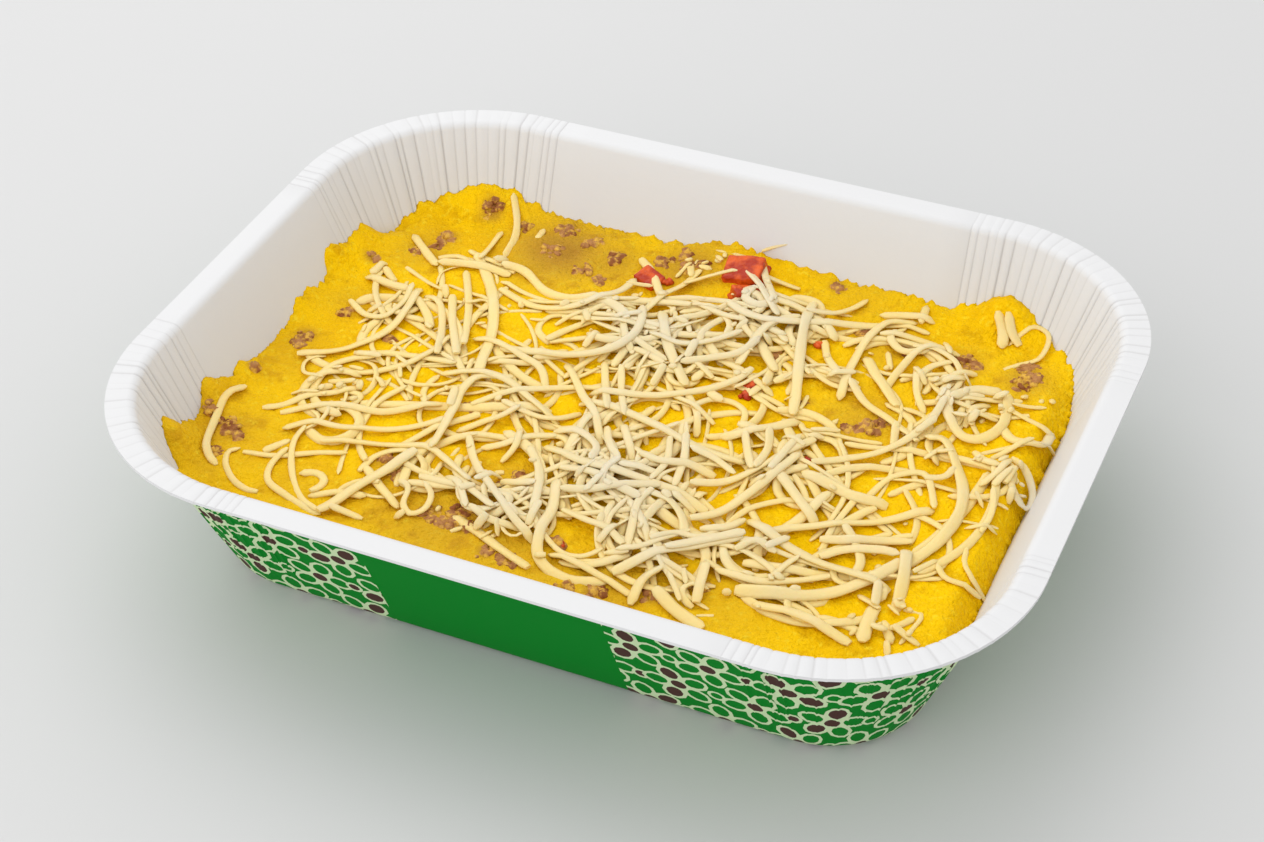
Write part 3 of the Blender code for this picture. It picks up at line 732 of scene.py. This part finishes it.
def make_print(finishes):
    """The printed pattern, a thin layer over the tray's outside, made one stretch of wall at a time."""
    shapes = print_shapes()
    spans = [(min(u for u, _ in loop), max(u for u, _ in loop)) for _, loop in shapes]
    foot = float(SECTION.down[4])
    stretches = 2 * PRINT_COLUMNS
    points, kept, indices = [], [], []
    for stretch in range(stretches):
        start, end = (ROUND * k / stretches for k in (stretch, stretch + 1))
        near = [k for k, (low, high) in enumerate(spans) if high > start and low < end]
        corners, edges, faces = [], [], []
        for k in near:
            loop = shapes[k][1]
            faces.append(list(range(len(corners), len(corners) + len(loop))))
            corners += [Vector((float(u), float(min(max(down, 0.0), foot)))) for u, down in loop]
        for u in [start, end] + [float(u) for u in CREASED.u if start < u < end]:
            edges.append((len(corners), len(corners) + 1))
            corners += [Vector((u, 0.0)), Vector((u, foot))]
        for down in SECTION.down[5:]:
            edges.append((len(corners), len(corners) + 1))
            corners += [Vector((start, float(down))), Vector((end, float(down)))]
        verts, _, triangles, _, _, origins = delaunay_2d_cdt(corners, edges, faces, 0, 1e-5)
        for triangle, origin in zip(triangles, origins):
            middle = sum(verts[i].x for i in triangle) / 3
            if origin and shapes[near[max(origin)]][0] and start < middle < end:
                kept.append(tuple(i + len(points) for i in triangle))
                indices.append(shapes[near[max(origin)]][0] - 1)
        points += [tuple(vert) for vert in verts]
    used = sorted({i for triangle in kept for i in triangle})
    number = {old: new for new, old in enumerate(used)}
    flat = np.array([points[i] for i in used])
    placed, _ = board_points(flat[:, 0], flat[:, 1], BOARD + PRINT_LIFT)
    kept = [tuple(number[i] for i in triangle) for triangle in kept]
    inks = [finishes["pale_print"], finishes["brown_print"]]
    return mesh_object("tray_print", placed, kept, inks, indices)


class Heap:
    """The outline of the cheese heap, as its reach in each direction from its middle."""

    def __init__(self):
        self.angles = np.linspace(-math.pi, math.pi, 721)
        corners = np.array(HEAP_OUTLINE, float) - HEAP_CENTRE
        self.reach = np.zeros(len(self.angles))
        for start, end in zip(corners, np.roll(corners, -1, axis=0)):
            along = end - start
            for k, angle in enumerate(self.angles):
                ray = pointing(angle)
                cross = ray[0] * along[1] - ray[1] * along[0]
                if abs(cross) < 1e-9:
                    continue
                reach = (start[0] * along[1] - start[1] * along[0]) / cross
                share = (start[0] * ray[1] - start[1] * ray[0]) / cross
                if reach > 0 and -1e-9 <= share <= 1 + 1e-9:
                    self.reach[k] = max(self.reach[k], reach)

    def place(self, angle, away):
        """The place in a direction, with 1 away on the outline."""
        extent = np.interp((angle + math.pi) % (2 * math.pi) - math.pi, self.angles, self.reach)
        x = HEAP_CENTRE[0] + away * extent * math.cos(angle)
        return x, HEAP_CENTRE[1] + away * extent * math.sin(angle)

    def distance(self, x, y):
        """1 on the outline, and less inside it."""
        x, y = np.asarray(x, float) - HEAP_CENTRE[0], np.asarray(y, float) - HEAP_CENTRE[1]
        return np.hypot(x, y) / np.interp(np.arctan2(y, x), self.angles, self.reach)


HEAP = Heap()


def mash_height(x, y):
    """The mash's surface as in the solids: slow swells, lumps outside the heap, and crags at the wall."""
    x, y = np.asarray(x, float), np.asarray(y, float)
    flat = np.stack([x, y, np.zeros(len(x))], axis=1)
    height = MASH_LEVEL + MASH_SWELL * noise_at(flat, MASH_SWELL_SPAN)
    bare = smooth_step((HEAP.distance(x, y) - 1) / 0.25)
    height += bare * MASH_LUMP * noise_at(flat + (0, 0, 20), MASH_LUMP_SPAN)
    climb = 1 - smooth_step((rim_distance(x, y) - wall_inset(MASH_LEVEL)) / CLIMB_REACH)
    for crag_x, crag_y, crag_height, spread in CRAGS:
        away = np.hypot(x - crag_x, y - crag_y) / spread
        height += climb * crag_height * np.exp(-away * away / 2)
    return height


def view_axes():
    """The camera's place, and its directions to the right, up and back."""
    azimuth, elevation, roll = (math.radians(v) for v in (AZIMUTH, ELEVATION, ROLL))
    flat = np.array([math.sin(azimuth), -math.cos(azimuth), 0.0])
    back = flat * math.cos(elevation) + np.array([0, 0, math.sin(elevation)])
    level = np.array([math.cos(azimuth), math.sin(azimuth), 0.0])
    upright = np.cross(back, level)
    right = math.cos(roll) * level + math.sin(roll) * upright
    up = -math.sin(roll) * level + math.cos(roll) * upright
    return TARGET + back * DISTANCE, right, up, back


def seen_at(u, v, ground=None):
    """The place on the heap, or on another surface, that shows at a pixel of the photograph."""
    eye, right, up, back = view_axes()
    ray = -back + right * (u - PHOTO_SIZE[0] / 2) / FOCAL - up * (v - PHOTO_SIZE[1] / 2) / FOCAL
    height = DOME_FOOT + 1.0
    for _ in range(4):
        x, y, _ = eye + (height - eye[2]) / ray[2] * ray
        if ground:
            height = ground([x], [y])[0]
        else:
            away = math.hypot((x - DOME_MIDDLE[0]) / DOME_REACH[0], (y - DOME_MIDDLE[1]) / DOME_REACH[1])
            height = DOME_FOOT + DOME_RISE * max(0.0, 1 - away ** 2)
    return x, y


def mash_surface(x, y):
    """The mash's surface with its finer lumps and grain."""
    flat = np.stack([x, y, np.zeros(len(x))], axis=1)
    fine = 0.55 * noise_at(flat + (5, 3, 0), 5.0) + 0.35 * noise_at(flat, 2.1)
    return mash_height(x, y) + fine


def make_mash(finishes):
    """The mash: a fine top with a ragged edge on the wall, and plain sides and bottom inside the tray."""
    count = MASH_SIDES
    u = np.arange(count) * ROUND / count
    rim, outs = outline(u)
    ragged = np.full(count, -0.8)
    for row, (height, span) in enumerate(MASH_RAGGED):
        places = np.stack([u, np.full(count, 9.0 * row), np.zeros(count)], axis=1)
        ragged += height * np.abs(noise_at(places, span))
    height = np.full(count, float(MASH_LEVEL))
    for _ in range(5):
        edge = rim - outs * (wall_inset(height) - MASH_BITE)[:, None]
        height = mash_height(edge[:, 0], edge[:, 1]) + ragged
    edge = rim - outs * (wall_inset(height) - MASH_BITE)[:, None]
    rings = [np.column_stack([edge, height])]
    reach = np.hypot(*edge.T)
    for inward in MASH_RINGS:
        flat = edge * (np.maximum(reach - inward * reach / reach.min(), 0.5) / reach)[:, None]
        top = mash_surface(flat[:, 0], flat[:, 1])
        blend = smooth_step(np.array([inward / MASH_BLEND]))[0]
        near_edge = height + (mash_height(*flat.T) - mash_height(*edge.T))
        rings.append(np.column_stack([flat, top * blend + (1 - blend) * near_edge]))
    rings.reverse()
    floor = BOARD + 0.2
    for level, inset in ((16, wall_inset(16) + 0.4), (8, wall_inset(8) + 0.4), (floor, BASE_INSET + 4)):
        rings.append(np.column_stack([rim - outs * inset, np.full(count, float(level))]))
    points = np.concatenate(rings + [[[0, 0, MASH_LEVEL], [0, 0, floor]]])
    faces = closed_faces(len(rings), count)
    mash = mesh_object("mash_mass", points, faces, [finishes["yellow_mash"]])
    mash.data.flip_normals()
    # The meat's stains browning the mash, with painted shade in the wide patches on the left.
    stain_and_shade = np.zeros(len(points))
    for u, v, radius, strength in [(*cluster, MEAT_STAIN) for cluster in MEAT] + list(STAINS_AND_SHADE):
        x, y = seen_at(u, v, mash_height)
        away = np.hypot(points[:, 0] - x, points[:, 1] - y) / (radius / PIXELS_PER_MM)
        stain_and_shade = np.maximum(stain_and_shade, strength * np.exp(-(away / 1.25) ** 2))
    set_attribute(mash, "meat", stain_and_shade)
    return mash


def ball(centre, radius, draw, squash=0.75):
    """An uneven crumb: the points and faces of a small icosphere."""
    mesh = bpy.data.meshes.get("crumb_form")
    if not mesh:
        form = bmesh.new()
        bmesh.ops.create_icosphere(form, subdivisions=2, radius=1.0)
        mesh = bpy.data.meshes.new("crumb_form")
        form.to_mesh(mesh)
        form.free()
    offset = Vector((draw.uniform(0, 99), draw.uniform(0, 99), draw.uniform(0, 99)))
    turn = Euler((draw.uniform(0, 6), draw.uniform(0, 6), draw.uniform(0, 6))).to_matrix()
    stretch = Vector((draw.uniform(0.8, 1.35), draw.uniform(0.75, 1.1), draw.uniform(0.7, 1.0)))
    points = []
    for vert in mesh.vertices:
        uneven = 1 + 0.4 * noise.noise(vert.co * 1.3 + offset)
        uneven += 0.25 * noise.noise(vert.co * 3.1 + offset)
        point = turn @ (vert.co * stretch) * uneven * radius
        points.append((centre[0] + point.x, centre[1] + point.y, centre[2] + point.z * squash))
    return points, [tuple(face.vertices) for face in mesh.polygons]


def gather(points, faces, made, shape):
    """Adds a shape's points and faces to those of a mesh."""
    faces += [tuple(i + len(points) for i in face) for face in shape]
    points += made


def make_meat(finishes):
    """The minced meat: crumbs of all sizes, half sunk in the mash."""
    draw = random.Random(SEED + 2)
    points, faces = [], []
    for u, v, radius in MEAT:
        x, y = seen_at(u, v, mash_height)
        radius /= PIXELS_PER_MM
        for _ in range(int(6 + radius * 5)):
            angle, away = draw.uniform(0, 2 * math.pi), radius * draw.random() ** 0.7 * 1.15
            crumb = draw.uniform(0.5, 1.45)
            px, py = x + away * math.cos(angle), y + away * math.sin(angle)
            while rim_distance(px, py) < wall_inset(mash_height([px], [py])[0]) + crumb:
                px, py = px * 0.99, py * 0.99
            ground = mash_surface([px], [py])[0]
            middle = (px, py, ground + crumb * draw.uniform(-0.65, -0.1))
            gather(points, faces, *ball(middle, crumb, draw))
    return mesh_object("meat_crumbs", points, faces, [finishes["minced_meat"]])


def make_scraps(finishes):
    """Small scraps of tomato that show among the shreds."""
    draw = random.Random(SEED + 4)
    points, faces = [], []
    for u, v, radius in SCRAPS:
        x, y = seen_at(u, v, mash_height)
        ground = mash_surface([x], [y])[0]
        size = radius / PIXELS_PER_MM
        for _ in range(3):
            px, py = x + draw.uniform(-0.6, 0.6) * size, y + draw.uniform(-0.6, 0.6) * size
            gather(points, faces, *ball((px, py, ground + 0.3 * size), size * draw.uniform(0.5, 0.9), draw))
    return mesh_object("tomato_scraps", points, faces, [finishes["red_tomato"]])


def make_tomato(name, place, sides, turn, finishes):
    """A diced bit of tomato with soft edges."""
    bpy.ops.mesh.primitive_cube_add(size=1)
    obj = bpy.context.active_object
    obj.name = name
    obj.data.name = name
    rounding = obj.modifiers.new("rounding", "SUBSURF")
    rounding.levels = rounding.render_levels = 4
    crease = obj.data.attributes.new("crease_edge", "FLOAT", "EDGE")
    crease.data.foreach_set("value", [TOMATO_CREASE] * len(obj.data.edges))
    graph = bpy.context.evaluated_depsgraph_get()
    mesh = bpy.data.meshes.new_from_object(obj.evaluated_get(graph))
    obj.modifiers.clear()
    obj.data = mesh
    offset = Vector((len(name) * 7.0, 3.0, 1.0))
    tilt = Euler([math.radians(angle) for angle in turn]).to_matrix()
    ground = mash_height([place[0]], [place[1]])[0] + (TOMATO_SHOWING - 0.5) * sides[2]
    for vert in mesh.vertices:
        co = vert.co * TOMATO_FIT
        co.x *= 1.0 - TOMATO_TAPER * (co.z > 0)
        co = Vector(side * value for side, value in zip(sides, co))
        co *= 1 + 0.07 * noise.noise(co / 2.2 + offset)
        co = tilt @ co + Vector((*place, ground))
        vert.co = co * MM
    mesh.materials.append(finishes["red_tomato"])
    mesh.polygons.foreach_set("use_smooth", [True] * len(mesh.polygons))
    return obj


def smooth_line(points, step):
    """A smooth curve through points, with places a step apart."""
    points = np.array(points, float)
    if len(points) == 2:
        points = np.array([points[0], points.mean(axis=0), points[1]])
    padded = np.concatenate([[2 * points[0] - points[1]], points, [2 * points[-1] - points[-2]]])
    fine = []
    for k in range(1, len(padded) - 2):
        a, b, c, d = padded[k - 1:k + 3]
        for share in np.linspace(0, 1, 12, endpoint=False):
            square, cube = 2 * a - 5 * b + 4 * c - d, 3 * b - a - 3 * c + d
            fine.append(0.5 * (2 * b + (c - a) * share + square * share ** 2 + cube * share ** 3))
    fine = np.array(fine + [padded[-2]])
    run = np.concatenate([[0], np.cumsum(np.hypot(*np.diff(fine, axis=0).T))])
    count = max(4, round(run[-1] / step) + 1)
    at = np.linspace(0, run[-1], count)
    return np.stack([np.interp(at, run, fine[:, 0]), np.interp(at, run, fine[:, 1])], axis=1)


def traced_shreds():
    """The shreds that show in the photograph, as (width, line)."""
    for row in TRACED.strip().splitlines():
        width, steps = row.split(" ", 1)
        pixels = np.cumsum(numbers(steps), axis=0)
        line = smooth_line([seen_at(*pixel) for pixel in pixels], SHRED_STEP)
        yield TRACED_SHARE * float(width) / PIXELS_PER_MM, line


def spread_shreds(draw):
    """Shreds spread evenly over the heap, as (width, line)."""
    windows = [(*seen_at(u, v), radius / PIXELS_PER_MM) for u, v, radius in WINDOWS]
    for k in range(FILL_SHREDS):
        for _ in range(30):
            angle = GOLDEN_ANGLE * k + draw.uniform(-0.4, 0.4)
            x, y = HEAP.place(angle, math.sqrt((k + 0.5) / FILL_SHREDS) * FILL_REACH)
            heading, turn = draw.uniform(0, 2 * math.pi), draw.gauss(0, FILL_TURN)
            length = draw.uniform(*FILL_LENGTHS)
            steps = max(3, round(length / 5))
            line = [np.zeros(2)]
            for step in range(steps):
                bend = heading + turn * (step + 0.5) / steps
                line.append(line[-1] + pointing(bend) * length / steps)
            line = np.array(line)
            line += np.array([x, y]) - line.mean(axis=0)
            line = smooth_line(line, 2 * SHRED_STEP)
            clear = all(np.hypot(*(line - (wx, wy)).T).min() > radius for wx, wy, radius in windows)
            if clear and HEAP.distance(line[:, 0], line[:, 1]).max() < FILL_REACH + 0.06:
                width = draw.choice(FILL_WIDTHS) + draw.uniform(-0.15, 0.15)
                yield width, smooth_line(line, SHRED_STEP)
                break


class Pile:
    """The height of what lies in the tray, on a grid, for shreds to come to rest on."""

    def __init__(self):
        self.columns, self.rows = int(LENGTH / SHRED_GRID) + 1, int(WIDTH / SHRED_GRID) + 1
        x = np.arange(self.columns) * SHRED_GRID - LENGTH / 2
        y = np.arange(self.rows) * SHRED_GRID - WIDTH / 2
        grid_x, grid_y = np.meshgrid(x, y, indexing="ij")
        coarse_x, coarse_y = grid_x[::3, ::3], grid_y[::3, ::3]
        known = mash_height(coarse_x.ravel(), coarse_y.ravel()).reshape(coarse_x.shape)
        mash = np.repeat(np.repeat(known, 3, axis=0), 3, axis=1)[:self.columns, :self.rows]
        inset = rim_distance(grid_x, grid_y)
        wall = HEIGHT - (inset - FLANGE) / WALL_SLOPE
        beyond = inset - wall_inset(MASH_LEVEL) < 0
        self.top = np.where(beyond, np.minimum(np.maximum(wall, mash), HEIGHT), mash)

    def patch(self, x, y, radius):
        """The part of the grid round a point, and which of its places are within a radius."""
        across, along = (x + LENGTH / 2) / SHRED_GRID, (y + WIDTH / 2) / SHRED_GRID
        reach = radius / SHRED_GRID
        i0, i1 = max(0, math.ceil(across - reach)), min(self.columns, math.floor(across + reach) + 1)
        j0, j1 = max(0, math.ceil(along - reach)), min(self.rows, math.floor(along + reach) + 1)
        i, j = np.ogrid[i0:i1, j0:j1]
        return slice(i0, i1), slice(j0, j1), np.hypot(i - across, j - along) <= max(reach, 0.8)

    def ground(self, x, y, radius):
        """The highest place under a disc."""
        i, j, near = self.patch(x, y, radius)
        return self.top[i, j][near].max()

    def lay(self, line, width, thickness):
        """The heights of a shred that drapes over the pile along a flat line, which it then joins."""
        rest = np.array([self.ground(x, y, width * 0.34) for x, y in line]) + thickness * 0.36
        height = np.full(len(line), rest.max() + 1.0)
        for _ in range(220):
            middle = (height[:-2] + height[2:]) / 2 - 0.02
            height[1:-1] = np.maximum(rest[1:-1], middle)
            height[0] = max(rest[0], 2 * height[1] - height[2] - 0.05)
            height[-1] = max(rest[-1], 2 * height[-2] - height[-3] - 0.05)
        for (x, y), z in zip(line, height):
            i, j, near = self.patch(x, y, width / 2)
            part = self.top[i, j]
            part[near] = np.maximum(part[near], z + thickness / 2)
        return height


def strand(path, width, thickness, draw):
    """A strip along a path: the points and faces of an eight-sided section with blunt ends."""
    count = len(path)
    ahead = np.gradient(path, axis=0)
    ahead /= np.linalg.norm(ahead, axis=1)[:, None]
    side = np.cross(ahead, (0, 0, 1.0))
    side /= np.linalg.norm(side, axis=1)[:, None]
    rise = np.cross(side, ahead)
    first = Vector((draw.uniform(0, 99), draw.uniform(0, 99), 0))
    along = np.arange(count) * SHRED_STEP
    roll = np.array([0.5 * noise.noise(first + Vector((s / 14, 0, 0))) for s in along])
    roll += draw.uniform(-0.25, 0.25)
    swell = np.array([1 + 0.14 * noise.noise(first + Vector((0, s / 5, 0))) for s in along])
    swell[0] *= draw.choice(END_SWELLS)
    swell[-1] *= draw.choice(END_SWELLS)
    half, deep = width / 2, thickness / 2
    section = []
    for across, upward, corners in ((1, 1, 1), (-1, 1, -1), (-1, -1, 1), (1, -1, -1)):
        section += [(across * x, upward * y) for x, y in SHRED_CORNERS[::corners]]
    points = []
    for k in range(count):
        cos, sin = math.cos(roll[k]), math.sin(roll[k])
        right, up = side[k] * cos + rise[k] * sin, rise[k] * cos - side[k] * sin
        for x, y in section:
            aside = right * x * half * swell[k]
            points.append(path[k] + aside + up * y * deep * min(1.0, swell[k] + 0.1))
    faces = ring_faces(count, 8)
    faces += [tuple(range(8))[::-1], tuple(range((count - 1) * 8, count * 8))]
    return points, faces


def loose_bits(draw):
    """Short bits of cheese, half of them over the whole heap and half in clusters, as (width, line)."""
    least = wall_inset(MASH_LEVEL) + 2.5
    for k in range(BIT_TRIES):
        angle = draw.uniform(0, 2 * math.pi)
        if k % 2:
            u, v, radius = BIT_CLUSTERS[k % len(BIT_CLUSTERS)]
            away = radius / PIXELS_PER_MM * math.sqrt(draw.random())
            x, y = seen_at(u, v)
            x, y = x + away * math.cos(angle), y + away * math.sin(angle)
        else:
            x, y = HEAP.place(angle, 1.07 * math.sqrt(draw.uniform(0.1, 1.0)))
        heading, length = draw.uniform(0, 2 * math.pi), draw.choice(BIT_LENGTHS)
        end = (x + length * math.cos(heading), y + length * math.sin(heading))
        if rim_distance(x, y) > least and rim_distance(*end) > least:
            yield draw.uniform(0.8, 1.8), smooth_line([(x, y), end], BIT_STEP)


def make_cheese(finishes):
    """The grated cheese: shreds laid one by one on the pile, and crumbs of it."""
    draw = random.Random(SEED + 3)
    pile = Pile()
    for place, sides, _ in TOMATOES.values():
        i, j, near = pile.patch(*place, sides[0] / 2)
        part = pile.top[i, j]
        part[near] += sides[2] * TOMATO_SHOWING * 0.8
    shreds = list(spread_shreds(draw)) + list(traced_shreds())
    bits = list(loose_bits(draw))
    made = []
    for name, lines in (("cheese_shreds", shreds), ("cheese_bits", bits)):
        points, faces, low, tone = [], [], [], []
        for width, line in lines:
            thickness = min(width, 2.0) * draw.uniform(*SHRED_THICKNESS)
            under = mash_height(line[:, 0], line[:, 1])
            height = pile.lay(line, width, thickness)
            height = under + HEAP_LIMIT * (1 - np.exp((under - height) / HEAP_LIMIT))
            path = np.column_stack([line, height])
            places, shape = strand(path, width, thickness, draw)
            gather(points, faces, places, shape)
            tone += [draw.random()] * len(places)
            # Painted light from the mash: the lower a place lies over the mash, the more of its yellow it
            # is painted with, and the underside more still.
            depth = 1 - np.clip((height - under - 0.6) / 3.8, 0, 1)
            low += list((depth[:, None] + UNDERSIDE_MASH_LIGHT).ravel())
        obj = mesh_object(name, points, faces, [finishes["grated_cheese"]])
        set_attribute(obj, "low", low)
        set_attribute(obj, "tone", tone)
        obj.data.set_sharp_from_angle(angle=math.radians(70))
        made.append(obj)
    return made


def make_camera():
    """The camera, fitted to the photograph."""
    place, right, up, back = view_axes()
    data = bpy.data.cameras.new("camera")
    data.sensor_width = 36
    data.lens = FOCAL / PHOTO_SIZE[0] * 36
    data.clip_start = 0.01
    camera = bpy.data.objects.new("camera", data)
    axes = np.column_stack([right, up, back, place * MM]).tolist()
    camera.matrix_world = Matrix(axes + [[0, 0, 0, 1]])
    bpy.context.scene.collection.objects.link(camera)
    bpy.context.scene.camera = camera


def make_light(name, place, size, power):
    """A soft square lamp that points at the tray. Its place and size are in metres."""
    data = bpy.data.lights.new(name, "AREA")
    data.shape = "SQUARE"
    data.size = size
    data.energy = power
    lamp = bpy.data.objects.new(name, data)
    lamp.location = place
    lamp.rotation_euler = (Vector((0, 0, 0.02)) - Vector(place)).to_track_quat("-Z", "Y").to_euler()
    bpy.context.scene.collection.objects.link(lamp)


def make_stage():
    """The floor, the lamps and the light from all round."""
    finish = Finish("floor", (0.6, 0.6, 0.6), 0.6)
    corners = [(x * 4000, y * 4000, 0) for x, y in ((-1, -1), (1, -1), (1, 1), (-1, 1))]
    floor = mesh_object("floor", corners, [(0, 1, 2, 3)], [finish.made], smooth=False)
    make_light("key", (-0.45, 0.42, 0.75), 0.9, 2.9)
    make_light("fill", (-0.3, -0.9, 0.65), 1.0, 3.6)
    world = bpy.data.worlds.new("studio")
    world.use_nodes = True
    glow = world.node_tree.nodes["Background"].inputs
    glow["Color"].default_value = (1, 1, 1, 1)
    glow["Strength"].default_value = 0.93
    bpy.context.scene.world = world
    bpy.context.scene.view_settings.view_transform = "Standard"


def add_piece(obj, slot, *nodes):
    """Makes an object part of the visual model, in place of CAD nodes."""
    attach(obj, "root")
    if nodes:
        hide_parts(*nodes)


def main():
    """Builds every piece over the solids, and the stage."""
    finishes = make_finishes()
    add_piece(make_board(finishes), "board", "tray")
    add_piece(make_print(finishes), "board")
    add_piece(make_mash(finishes), "mash", "mash")
    add_piece(make_meat(finishes), "mash")
    for name, (place, sides, turn) in TOMATOES.items():
        add_piece(make_tomato("diced_" + name, place, sides, turn, finishes), "tomato", name)
    add_piece(make_scraps(finishes), "tomato")
    shreds, bits = make_cheese(finishes)
    add_piece(shreds, "cheese", "cheese")
    add_piece(bits, "cheese")
    make_stage()
    make_camera()


main()
